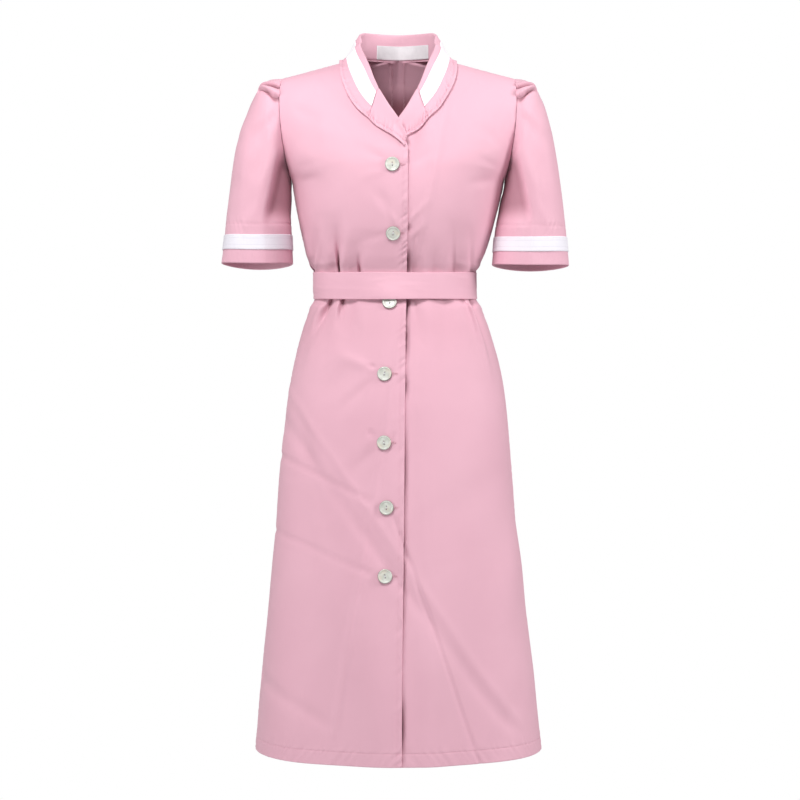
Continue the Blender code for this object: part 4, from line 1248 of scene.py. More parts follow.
@dataclass
class Sleeve:
    """One short set-in sleeve with pleats let into its head, and the stripe round it."""

    side: Side
    rows: Rows
    bow: float = 0.0065
    hem_tilt: float = 0.002
    hem_sag: float = 0.004
    straight_share: float = 0.88
    seam_gap: float = 0.0004
    thickness: float = 0.0011
    hem_turn: float = 0.0585
    stripe_rise: float = 0.0195
    stripe_width: float = 0.021
    stripe_girth: float = 0.37
    stripe_lift: float = 0.0003
    stripe_thickness: float = 0.0009
    pleat_meet: float = 0.21
    pleats: Rows = field(
        default_factory=lambda: table(
            "place height",
            (-1.60, 0.0000),
            (-0.90, 0.0008),
            (-0.30, 0.0034),
            (-0.02, 0.0050),
            (0.03, -0.0052),
            (0.20, -0.0056),
            (0.36, 0.0014),
            (0.60, 0.0048),
            (0.85, 0.0058),
            (0.985, 0.0050),
            (1.03, -0.0050),
            (1.20, -0.0042),
            (1.60, -0.0012),
            (2.40, 0.0000),
        )
    )
    inner_fold: Rows = field(
        default_factory=lambda: table(
            "height edge_x",
            (-0.300, 0.1970),
            (-0.229, 0.2000),
            (-0.179, 0.1904),
            (-0.133, 0.1812),
            (-0.110, 0.1770),
        )
    )
    folded_back: dict[Side, float] = field(default_factory=lambda: {Side.RIGHT: 0.36, Side.LEFT: 0.28})
    creases: Creases = field(
        default_factory=lambda: creases(
            (174, -62, 222, -122, 6, 12, -3.6),
            (186, -60, 232, -104, 5, 9, 1.6),
            (184, -120, 214, -215, 6, 11, 2.4),
            (200, -190, 238, -262, 6, 10, 1.8),
            (218, -110, 236, -210, 6, 11, 1.6),
            (196, -95, 216, -180, 7, 12, -1.8),
            (240, -190, 256, -275, 8, 12, -1.4),
        )
    )
    softness: Softness = Softness(
        70, 0.0007, (0.015, 0.05), (0.006, 0.016), 0.6, (0.14, -0.29), (0.27, 0.0), 31
    )
    laid: Lay | None = None
    stripe: Lay | None = None

    def ring(self, share: Array, angle: Array) -> Array:
        """Points of the rings on +X, from the armhole (0) to the hem (1); angle 0 is the outer line."""
        names = ("outer_x", "outer_z", "inner_x", "inner_z", "half_depth", "centre_y")
        sizes = read(self.rows, "share", share, *names)
        outer_x, outer_z, inner_x, inner_z, depth, middle = np.moveaxis(sizes, -1, 0)
        across, ahead = np.cos(angle), np.sin(angle)
        bow = self.bow * ahead**2 * (1 - ease(0.0, 0.3, share))
        tilt = (self.hem_tilt * ahead - self.hem_sag * ahead**2) * ease(0.5, self.straight_share, share)
        x, z = between(outer_x, inner_x, across) + bow, between(outer_z, inner_z, across) + tilt
        return np.stack([x, middle - depth * ahead, z], axis=-1)

    def pleat_lines(self, share: Array) -> tuple[Array, Array]:
        """The two pleats' folded edges, as angles down from the outer line."""
        run = np.clip(share / self.pleat_meet, 0, 1)
        return 37 - 23 * run**1.4, 54 - 35 * run**1.8

    def pleat_height(self, share: Array, angle: Array) -> Array:
        """How far the two folded pleats stand out, on the front and back alike."""
        down = np.degrees(np.abs((angle + math.pi) % (2 * math.pi) - math.pi))
        first, second = self.pleat_lines(share)
        height = smooth(self.pleats["place"], self.pleats["height"], (down - first) / (second - first))
        held = 0.6 + 0.4 * ease(0, 0.05, share)
        return height * held * (1 - ease(self.pleat_meet * 0.75, self.pleat_meet * 1.2, share))

    def turned(self, share: Array, angle: Array) -> Array:
        """The columns' angles, turned to run along the pleats' folded edges."""
        down = np.degrees(np.minimum(angle, 2 * math.pi - angle))
        first, second = self.pleat_lines(share)
        keys = np.array([0.0, 10.0, 37.0, 54.0, 72.0, 180.0])
        rows = []
        for row, one, two in zip(down, first[:, 0], second[:, 0]):
            rows.append(np.interp(row, keys, [0.0, one * 0.4, one, two, 72.0, 180.0]))
        follow = 1 - ease(self.pleat_meet * 1.2, self.pleat_meet * 2.4, share)
        moved = np.radians(down + (np.stack(rows) - down) * follow)
        return np.where(angle > math.pi, 2 * math.pi - moved, moved)

    def lay(self, share: Array, angle: Array) -> Lay:
        """Lays the sleeve's outer face.

        Args:
            share: Each ring's place from armhole to hem, as a grid.
            angle: Each column's turn from the outer line, as a grid.

        Returns:
            The laid sleeve on its own side.
        """
        angle = self.turned(share, angle)
        points = self.ring(share, angle)
        points[..., 0] += self.seam_gap
        x, z = points[..., 0], points[..., 2]
        inward = smooth(self.inner_fold["height"], self.inner_fold["edge_x"], z) - x
        folded = ease(0.0, 0.013, inward) * ease(-0.120, -0.150, z) * self.folded_back[self.side]
        folded = folded * (1 - 0.9 * ease(-0.200, -0.240, z))
        points[..., 1] -= (points[..., 1] + 0.004) * folded * np.where(np.sin(angle) > 0, 1.0, 0.7)
        pleats = self.pleat_height(share, angle)
        under = ease(0.0008, 0.0036, -pleats)
        # Painted shade under the pleats' folded edges and on the inner fold that turns towards the body.
        self.shade = np.maximum(0.7 * under, ease(0.05, 0.36, folded) * 0.62)
        free = ease(0.0, 0.08, share)
        raised = pleats + self.creases.height(x, z) * free * np.abs(np.sin(angle)) ** 0.5
        girth = x + 0.05 * np.sign(np.sin(angle)) * self.side.value
        raised = raised + self.softness.relief(girth, z) * free
        points = points + ring_normals(points) * raised[..., None]
        return Lay(points, ring_normals(points)).mirrored(self.side)

    def build(self, cloth: bpy.types.Material, tape: bpy.types.Material) -> None:
        """Builds the sleeve and its stripe."""
        fold = np.radians(np.linspace(12, 71, 50))
        rest = np.radians(np.linspace(74, 180, 31))
        half = np.concatenate([np.radians([0, 4, 8]), fold, rest])
        angle = np.concatenate([half, 2 * math.pi - half[-2:0:-1]])
        share = np.concatenate(
            [
                [0, 0.002, 0.005, 0.009],
                np.linspace(0.015, 0.30, 36, endpoint=False),
                np.linspace(0.30, 0.76, 34, endpoint=False),
                np.linspace(0.76, 0.985, 36),
                [0.990, 0.994, 0.9975, 1.0],
            ]
        )
        lay = self.lay(*np.meshgrid(share, angle, indexing="ij"))
        down = lay.rows_up()
        to_hem = down[-1:] - down
        around = lay.columns_in()
        over_hem, turned = to_hem - self.hem_turn, to_hem < self.hem_turn
        depth = ARMHOLE_SEAM.worked(around, down) + SLEEVE_EDGE.ripples(around, to_hem)
        depth = depth + SLEEVE_HEM.groove(over_hem) + SLEEVE_HEM.ripples(around, over_hem, turned)
        thick = np.where(turned, self.thickness * 1.7, self.thickness)
        self.laid = lay.sink(depth)
        name = self.side.word
        piece = shell(f"sleeve_{name}_cloth", self.laid, thick, cloth, closed=True)
        tint(piece, self.shade, 0 * self.shade)
        enter(piece, (f"sleeve_{name}",), SLEEVE_CUT)

        straight = self.rows["outer_z"][-2] - self.rows["outer_z"][-1]
        per_metre = (1 - self.straight_share) / straight
        low = 1 - self.stripe_rise * per_metre
        high = low - self.stripe_width * per_metre
        lay = self.lay(*np.meshgrid(np.linspace(high, low, 16), angle, indexing="ij"))
        up = lay.rows_up()
        around = lay.columns_in()
        lift = self.stripe_lift + self.stripe_thickness
        depth = lift + TAPE_TOP.ripples(around, up) + TAPE_FOOT.ripples(around, up[-1:] - up)
        over_hem = to_hem[np.searchsorted(share, high)] - self.hem_turn + 0 * up
        depth = depth + TAPE_OVER_HEM.ripples(around, over_hem)
        self.stripe = lay.sink(depth)
        piece = shell(f"sleeve_stripe_{name}_tape", self.stripe, self.stripe_thickness, tape, closed=True)
        girth, width = self.stripe_girth, self.stripe_width
        cut = FlatCut(girth, width, girth * width, Hold.STRETCHED, (f"sleeve_{name}_cloth",))
        enter(piece, (f"sleeve_stripe_{name}",), cut)


@dataclass
class Collar:
    """The rolled collar, the lapels that it runs into, its stripe and the blank label."""

    body: Body
    roll_radius: float = 0.0024
    seam_gap: float = 0.0004
    lie: float = 0.0028
    thickness: float = 0.0014
    gorge: float = 1.0
    tips: dict[Side, float] = field(default_factory=lambda: {Side.RIGHT: 1.97, Side.LEFT: 1.78})
    stripe_from: float = 0.14
    stripe_to: float = 0.62
    stripe_lift: float = 0.0002
    stripe_thickness: float = 0.0008
    edge_stitch: float = 0.0055
    edge_lift: float = 0.0011
    seam_clear: float = 0.004
    label_from: float = -0.0325
    label_to: float = 0.0465
    label_thickness: float = 0.0006
    stations: int = 150
    lapel_stations: int = 64
    rows: Rows = field(
        default_factory=lambda: table(
            "station leg lean edge_x edge_y edge_z",
            (0.00, 0.0382, -0.13, 0.000, 0.0985, 0.0250),
            (0.25, 0.0375, 0.00, 0.060, 0.0690, 0.0220),
            (0.40, 0.0315, 0.15, 0.081, 0.0330, 0.0180),
            (0.50, 0.0205, 0.40, 0.087, 0.0000, 0.0140),
            (0.65, 0.0120, 0.40, 0.0845, -0.0370, -0.0110),
            (0.80, 0.0065, 0.30, 0.0750, -0.0680, -0.0400),
            (0.90, 0.0035, 0.20, 0.0610, -0.0870, -0.0630),
            (1.00, 0.0020, 0.00, 0.0440, -0.0980, -0.0790),
            (1.30, 0.0020, 0.00, 0.0335, -0.1040, -0.0905),
            (1.55, 0.0020, 0.00, 0.0220, -0.1080, -0.0990),
            (1.80, 0.0020, 0.00, 0.0060, -0.1120, -0.1100),
            (2.00, 0.0020, 0.00, -0.0115, -0.1180, -0.1260),
        )
    )
    laid: dict[str, Lay] = field(default_factory=dict)

    def falls(self) -> Array:
        """Shares down the collar's fall, with the stripe's two edges among them."""
        parts = [
            np.linspace(0.02, self.stripe_from, 5, endpoint=False),
            np.linspace(self.stripe_from, self.stripe_to, 16, endpoint=False),
            np.linspace(self.stripe_to, 0.96, 14, endpoint=False),
            np.array([0.96, 0.975, 0.99, 1.0]),
        ]
        return np.concatenate(parts)

    def section(self, station: Array, side: Side, bed: LaidSurface) -> Array:
        """Points up the leg, over the roll and down the fall at each station.

        Args:
            station: Places along the neck, from the back's centre.
            side: The wearer's right or left.
            bed: The cloth that the fall lies on.

        Returns:
            A grid of points, by station and then over the section.
        """
        base, facing = self.body.neck_line(side).at(station)
        tangent = unit(np.gradient(base, axis=0))
        radial = unit(base * [1, 1, 0] + [0, 0.005, 0])
        flat = ease(0.55, 1.0, station)[:, None]
        lean = smooth(self.rows["station"], self.rows["lean"], station)[:, None]
        out = (1 - flat) * (radial + lean * [0, 0, 1]) + flat * facing
        out = unit(out - tangent * np.einsum("ij,ij->i", out, tangent)[:, None])
        crest = np.cross(tangent, out)
        leg = smooth(self.rows["station"], self.rows["leg"], station)[:, None]
        edge = read(self.rows, "station", station, "edge_x", "edge_y", "edge_z")
        foot = base + crest * self.seam_gap * 1.5
        axis = foot + crest * leg + out * self.roll_radius
        turns = np.linspace(math.pi, 0, 9)
        roll = [axis + self.roll_radius * (out * math.cos(t) + crest * math.sin(t)) for t in turns]
        stand = [foot + (roll[0] - foot) * share for share in np.linspace(0, 1, 12, endpoint=False)]
        bulge = ease(1.0, 0.2, station)[:, None] * 0.004
        falls = self.falls()
        swell = (out * 0.8 + crest * 0.3) * bulge
        fall = [roll[-1] + (edge - roll[-1]) * share + swell * math.sin(math.pi * share) for share in falls]
        points = np.stack([*stand, *roll, *fall], axis=1)
        points[..., 0] *= side.value
        free = len(stand) + len(roll)
        fallen = bed.lift(points[:, free:], self.lie)
        resting = bed.lift(fallen, self.lie, rest=True)
        weight = ease(0.3, 0.6, station)[:, None, None] * ease(0, 0.6, falls)[None, :, None]
        points[:, free:] = fallen * (1 - weight) + resting * weight
        return points

    def face(self, points: Array, sign: float) -> Lay:
        """The section grid with its normals on the side that shows."""
        normal = unit(np.cross(np.gradient(points, axis=0), np.gradient(points, axis=1))) * sign
        return Lay(points, normal)

    def ripple(self, lay: Lay) -> Lay:
        """Works the outer band: a line of stitches and the small ripples that it draws up."""
        away = lay.columns_in()
        to_edge = away[:, -1:] - away
        along = lay.rows_up()[:, -1:] + 0 * away
        depth = COLLAR_STITCH.worked(along, to_edge - self.edge_stitch)
        depth = depth + self.edge_lift * (1 - ease(0.0, 0.007, to_edge))
        ends = np.minimum(along, along[-1:] - along)
        return lay.sink(depth + COLLAR_END.groove(ends) * (away > self.seam_clear))

    def build(self, cloth: bpy.types.Material, tape: bpy.types.Material, satin: bpy.types.Material) -> None:
        """Builds the collar, stripe, label and lapels."""
        beds = {side: self.body.rest(side) for side in Side}
        half = np.linspace(0, self.gorge, self.stations)
        right = self.section(half, Side.RIGHT, beds[Side.RIGHT])
        left = self.section(half, Side.LEFT, beds[Side.LEFT])
        points = np.concatenate([right[:0:-1], left])
        middle = len(half) - 1
        near = 0.5 * bell(np.arange(1, len(points) - 1), middle, 7)[:, None, None]
        for _ in range(40):
            points[1:-1] += near * ((points[:-2] + points[2:]) / 2 - points[1:-1])
        points[middle, :, 0] = 0
        for end, inward in ((0, 1), (-1, -2)):
            points[end] += unit(points[inward] - points[end]) * self.seam_gap
        plain = self.face(points, 1)
        self.laid["collar"] = self.ripple(plain)
        cut = FlatCut(0.50, 0.085, 0.0368, Hold.FOLDED, ("front_right_cloth", "front_left_cloth"))
        enter(shell("collar_cloth", self.laid["collar"], self.thickness, cloth), ("collar",), cut)

        falls = self.falls()
        first = points.shape[1] - len(falls)
        begin = first + int(np.argmin(np.abs(falls - self.stripe_from)))
        end = first + int(np.argmin(np.abs(falls - self.stripe_to)))
        strip = slice(begin, end + 1)
        lay = Lay(plain.points[:, strip], plain.normals[:, strip])
        across, along = lay.columns_in(), lay.rows_up()
        depth = STRIPE_INNER.ripples(along, across) + STRIPE_OUTER.ripples(along, across[:, -1:] - across)
        self.laid["stripe"] = lay.sink(depth + self.stripe_lift + self.stripe_thickness)
        cut = FlatCut(0.47, 0.024, 0.0112, Hold.LAID, ("collar_cloth",))
        piece = shell("collar_stripe_tape", self.laid["stripe"], self.stripe_thickness, tape)
        enter(piece, ("collar_stripe",), cut)
        self.build_label(plain, satin)

        for side in Side:
            name = f"lapel_{side.word}"
            station = np.linspace(self.gorge, self.tips[side], self.lapel_stations)
            points = self.section(station, side, beds[side])
            points[0] += unit(points[1] - points[0]) * self.seam_gap
            self.laid[name] = self.ripple(self.face(points, side.value))
            cut = FlatCut(0.105, 0.048, 0.0029, Hold.FOLDED, (f"front_{side.word}_cloth",))
            enter(shell(name + "_cloth", self.laid[name], self.thickness, cloth), (name,), cut)

    def build_label(self, collar: Lay, satin: bpy.types.Material) -> None:
        """The blank label, sewn along its edges to the inside of the stand."""
        middle = len(collar.points) // 2
        rows = np.linspace(self.label_from, self.label_to, 60)
        near = slice(middle - 40, middle + 41)
        legs = np.linspace(0.15, 6.9, 14)
        places, facing = [], []
        for leg in legs:
            low = int(leg)
            share = leg - low
            for values, found in ((collar.points, places), (collar.normals, facing)):
                line = values[near, low] * (1 - share) + values[near, low + 1] * share
                key = collar.points[near, low, 0]
                found.append(np.stack([np.interp(rows, key, line[:, i]) for i in range(3)], axis=-1))
        lay = Lay(np.stack(places, axis=1), unit(np.stack(facing, axis=1)))
        down = np.linspace(0, 1, len(legs))[None, :]
        sag = 0.0006 * np.sin(np.linspace(0, math.pi, len(rows)))[:, None] * np.sin(math.pi * down)
        wave = 0.00025 * np.sin(np.linspace(0, 9, len(rows)))[:, None] * down
        self.laid["label"] = lay.sink(0.0004 + self.label_thickness + sag + wave)
        cut = FlatCut(0.079, 0.0256, 0.00202, Hold.LAID, ("collar_cloth",))
        piece = shell("label_satin", self.laid["label"], self.label_thickness, satin)
        enter(piece, ("label",), cut)


@dataclass
class Belt:
    """A plain sash belt, closed all round, that swells over the button under its lower edge."""

    width: float = 0.0385
    wall: float = 0.0018
    half_width: float = 0.1228
    front_depth: float = 0.0950
    back_depth: float = 0.0930
    waist_height: float = -0.3205
    dip: float = 0.0046
    roundness: float = 0.565
    bulge: float = 0.0052
    bulge_reach: float = 0.034
    wrinkles: Softness = Softness(
        90, 0.00016, (0.010, 0.035), (0.0018, 0.0040), 0.12, (0.0, -0.02), (0.70, 0.02), 5
    )
    laid: Lay | None = None

    def ring(self, turn: Array, height: Array, outward: Array) -> Array:
        """Points round the belt, from the left side seam (0) to the front (1) and on (4).

        Args:
            turn: Each point's quarter turn.
            height: Its height from the belt's middle line.
            outward: How far it lies from the belt's inner face.

        Returns:
            The points.
        """
        wide = self.half_width - self.wall + outward
        deep = np.where(turn < 2, -self.front_depth, self.back_depth)
        deep = deep - np.sign(deep) * (self.wall - outward)
        share = 1 - np.abs(1 - turn % 2)
        none = np.zeros_like(turn)
        points = quarter(
            np.stack([wide, none, none], -1),
            np.stack([none, deep, none], -1),
            np.stack([none, self.roundness * deep, none], -1),
            np.stack([self.roundness * wide, none, none], -1),
            share,
        )
        points[..., 0] *= np.where((turn > 1) & (turn < 3), -1, 1)
        points[..., 2] = self.waist_height + self.dip * points[..., 1] / self.front_depth + height
        return points

    def build(self, finish: bpy.types.Material, button_x: float) -> None:
        """Builds the belt.

        Args:
            finish: Its cloth.
            button_x: X of the button that it swells over.
        """
        turn = np.linspace(0, 4, 300, endpoint=False)
        shares = crowded(22, 0.010, 2) - 0.5
        edge_wave = 0.0005 * np.sin(turn * 5.3 + 0.6) * np.sin(turn * 2.1)
        height = shares[:, None] * self.width + edge_wave * np.sign(shares[:, None])
        turn = turn + 0 * height
        plain = swayed(self.ring(turn, height, 0 * turn))
        near = bell(plain[..., 0], button_x, self.bulge_reach) * (plain[..., 1] < 0)
        swell = self.bulge * near * ease(-self.width * 0.45, self.width * 0.45, -height)
        points = swayed(self.ring(turn, height, swell + self.wall))
        lay = Lay(points, ring_normals(points))
        around = lay.columns_in()
        inner = self.width / 2 - np.abs(height)
        depth = self.along_wrinkles(around, height) * ease(0.0, 0.004, inner)
        self.laid = lay.sink(depth + BELT_EDGE.ripples(around, inner))
        cut = FlatCut(0.70, 0.0385, 0.0269, Hold.STRETCHED, ("front_right_cloth", "front_left_cloth"))
        piece = shell("belt_cloth", self.laid, self.wall * 0.9, finish, closed=True)
        enter(piece, ("belt",), cut)

    def along_wrinkles(self, around: Array, height: Array) -> Array:
        """Faint wrinkles that run along the belt."""
        soft = self.wrinkles
        chance = np.random.default_rng(soft.seed)
        total = np.zeros_like(around)
        for _ in range(soft.count):
            place = chance.uniform((0.0, -0.017), (0.70, 0.017))
            slope = chance.normal(0, soft.lean)
            length, half = chance.uniform(*soft.length), chance.uniform(*soft.half_width)
            along = around - place[0]
            off = height - place[1] - slope * along
            rise = soft.height * chance.choice([-1, 1])
            total += rise * np.exp(-((along / length) ** 2) - (off / half) ** 2)
        return total


@dataclass
class Buttons:
    """Seven pearl sew-through buttons, each with two holes one above the other, and their thread."""

    radius: float = 0.0106
    thickness: float = 0.0027
    hole_radius: float = 0.0010
    hole_pitch: float = 0.0042
    sides: int = 56
    gap: float = 0.0004
    rows: Rows = field(
        default_factory=lambda: table(
            "height inset turn",
            (-0.1515, 0.0210, 6),
            (-0.2505, 0.0213, -10),
            (-0.3505, 0.0247, 3),
            (-0.4530, 0.0286, -14),
            (-0.5520, 0.0290, 9),
            (-0.6495, 0.0256, -4),
            (-0.7460, 0.0248, 12),
        )
    )
    profile: Rows = field(
        default_factory=lambda: table(
            "radius height",
            (0.55, 0.000),
            (0.86, 0.010),
            (0.95, 0.130),
            (0.99, 0.350),
            (1.00, 0.560),
            (0.985, 0.780),
            (0.945, 0.930),
            (0.90, 0.990),
            (0.85, 1.000),
            (0.81, 0.970),
            (0.775, 0.880),
            (0.745, 0.780),
            (0.70, 0.725),
            (0.55, 0.705),
            (0.35, 0.700),
        )
    )
    seats: list[Matrix] = field(default_factory=list)

    def blank(self) -> bpy.types.Mesh:
        """One button facing +Z with its back at Z 0, its holes cut through, UVs from its middle, and its
        outer rim marked for its finish to darken.
        """
        build = bmesh.new()
        rings = []
        for radius, height in zip(self.profile["radius"], self.profile["height"]):
            ring = bmesh.ops.create_circle(build, segments=self.sides, radius=radius * self.radius)["verts"]
            for vert in ring:
                vert.co.z = height * self.thickness
            rings.append(ring)
        for low, high in zip(rings, rings[1:]):
            for number in range(self.sides):
                after = (number + 1) % self.sides
                build.faces.new([low[number], low[after], high[after], high[number]])
        build.faces.new(rings[0])
        build.faces.new(rings[-1])
        bmesh.ops.recalc_face_normals(build, faces=build.faces)
        mesh = bpy.data.meshes.new("button_blank")
        build.to_mesh(mesh)
        build.free()
        body = linked("button_blank", mesh)
        drill = bmesh.new()
        for sign in (-1, 1):
            bmesh.ops.create_cone(
                drill,
                cap_ends=True,
                segments=14,
                radius1=self.hole_radius,
                radius2=self.hole_radius,
                depth=self.thickness * 3,
                matrix=Matrix.Translation((0, sign * self.hole_pitch / 2, 0)),
            )
        drill_mesh = bpy.data.meshes.new("button_drill")
        drill.to_mesh(drill_mesh)
        drill.free()
        cutter = linked("button_drill", drill_mesh)
        cut = body.modifiers.new("thread holes", "BOOLEAN")
        cut.operation, cut.solver, cut.object = "DIFFERENCE", "EXACT", cutter
        made = plain_mesh(body)
        for thing in (body, cutter):
            bpy.data.objects.remove(thing)
        layer = made.uv_layers.new(name="cloth")
        for loop in made.loops:
            place = made.vertices[loop.vertex_index].co
            layer.data[loop.index].uv = (place.x, place.y)
        # Marks the outer rim for a darker colour: partly the shell's own darker edge, partly painted shadow
        # of the gap round the button.
        rim = made.attributes.new("rim", "FLOAT", "POINT")
        out = [math.hypot(vert.co.x, vert.co.y) / self.radius for vert in made.vertices]
        rim.data.foreach_set("value", ease(0.93, 0.99, np.array(out)).astype(np.float32))
        made.shade_smooth()
        made.set_sharp_from_angle(angle=math.radians(50))
        return made

    def build(self, bed: LaidSurface, edge_x: Callable[[float], float], shellac: bpy.types.Material) -> None:
        """Seats the seven buttons on the over front.

        Args:
            bed: The laid over front.
            edge_x: Gives the front edge's X at a height.
            shellac: The buttons' finish.
        """
        blank = self.blank()
        for number, (height, inset, turn) in enumerate(zip(*self.rows.values()), start=1):
            point, normal = bed.under(edge_x(height) - inset, height, self.radius)
            facing = Vector(normal).to_track_quat("Z", "Y").to_matrix().to_4x4()
            seat = Matrix.Translation(Vector(point) + Vector(normal) * self.gap) @ facing
            seat = seat @ Matrix.Rotation(math.radians(turn), 4, "Z")
            mesh = blank.copy()
            mesh.name = name = f"button_{number}_pearl"
            layer = mesh.uv_layers["cloth"]
            shift = number * 0.031
            for spot in layer.data:
                spot.uv = (spot.uv[0] + shift, spot.uv[1] + shift * 0.6)
            mesh.transform(seat)
            mesh.materials.append(shellac)
            self.seats.append(seat)
            enter(linked(name, mesh), (f"button_{number}",))

    def thread(self, finish: bpy.types.Material) -> None:
        """The strands through the holes and the wound shank behind each button, as one piece."""
        build = bmesh.new()
        floor = 0.705 * self.thickness
        for seat in self.seats:
            for number in range(3):
                aside = (number - 1) * 0.00042
                path = []
                for share in np.linspace(0, 1, 9):
                    along = (share - 0.5) * (self.hole_pitch - self.hole_radius * 0.9)
                    rise = floor + 0.00055 * math.sin(math.pi * share) - 0.0016 * (2 * abs(share - 0.5)) ** 6
                    sideways = aside * (1 - 0.3 * abs(2 * share - 1))
                    path.append(Vector((sideways, along, rise + 0.0001 * number)))
                self.strand(build, [seat @ place for place in path], 0.00027)
        bmesh.ops.recalc_face_normals(build, faces=build.faces)
        mesh = bpy.data.meshes.new("button_thread")
        build.to_mesh(mesh)
        build.free()
        mesh.shade_smooth()
        mesh.materials.append(finish)
        enter(linked("button_thread", mesh))

    def strand(self, build: bmesh.types.BMesh, path: list[Vector], radius: float) -> None:
        """Adds one round strand along a path.

        Args:
            build: The mesh that it is added to.
            path: Its points.
            radius: Its radius.
        """
        rings = []
        for number, place in enumerate(path):
            ahead = path[min(number + 1, len(path) - 1)] - path[max(number - 1, 0)]
            frame = ahead.to_track_quat("Z", "Y").to_matrix()
            turns = np.linspace(0, 2 * math.pi, 6, endpoint=False)
            spokes = [Vector((math.cos(turn) * radius, math.sin(turn) * radius, 0)) for turn in turns]
            rings.append([build.verts.new(place + frame @ spoke) for spoke in spokes])
        for low, high in zip(rings, rings[1:]):
            for number in range(6):
                build.faces.new([low[number], low[(number + 1) % 6], high[(number + 1) % 6], high[number]])
        build.faces.new(rings[0][::-1])
        build.faces.new(rings[-1])


def plain_mesh(thing: bpy.types.Object) -> bpy.types.Mesh:
    """The mesh of an object with its modifiers applied."""
    bpy.context.view_layer.update()
    graph = bpy.context.evaluated_depsgraph_get()
    return bpy.data.meshes.new_from_object(thing.evaluated_get(graph))


class Nodes:
    """Short calls for building a node tree."""

    def __init__(self, tree: bpy.types.NodeTree) -> None:
        """Keeps the tree."""
        self.tree = tree

    def feed(self, node: bpy.types.Node, inputs: dict[str | int, Any]) -> None:
        """Gives a node's sockets their values, or joins them to other nodes' outputs."""
        for key, value in inputs.items():
            if isinstance(value, bpy.types.NodeSocket):
                self.tree.links.new(value, node.inputs[key])
            else:
                node.inputs[key].default_value = value

    def add(self, kind: str, inputs: dict[str | int, Any] | None = None, **settings: Any) -> bpy.types.Node:
        """Adds a node.

        Args:
            kind: Its type.
            inputs: Values or other nodes' outputs for its sockets.
            settings: Its properties.

        Returns:
            The node.
        """
        node = self.tree.nodes.new(kind)
        for name, value in settings.items():
            setattr(node, name, value)
        self.feed(node, inputs or {})
        return node

    def maths(self, operation: str, *values: Any) -> bpy.types.NodeSocket:
        """The result of a Math node on up to three values or sockets."""
        return self.add("ShaderNodeMath", dict(enumerate(values)), operation=operation).outputs[0]

    def mix(self, share: bpy.types.NodeSocket, low: Any, high: Any) -> bpy.types.NodeSocket:
        """The mix of two colours, each a value or a socket."""
        return self.add("ShaderNodeMix", {0: share, 6: low, 7: high}, data_type="RGBA").outputs[2]

    def spread(
        self, value: bpy.types.NodeSocket, start: float, end: float, **ends: float
    ) -> bpy.types.NodeSocket:
        """The value's share of the way from start to end, or that share between the given ends."""
        limits = {"To " + name.title(): limit for name, limit in ends.items()}
        inputs = {"Value": value, "From Min": start, "From Max": end, **limits}
        return self.add("ShaderNodeMapRange", inputs).outputs[0]


@dataclass(frozen=True)
class Stitch:
    """One kind of stitch: its pitch, size and turn from the line that it follows."""

    pitch: float
    length: float
    width: float
    turn: float = 0.0


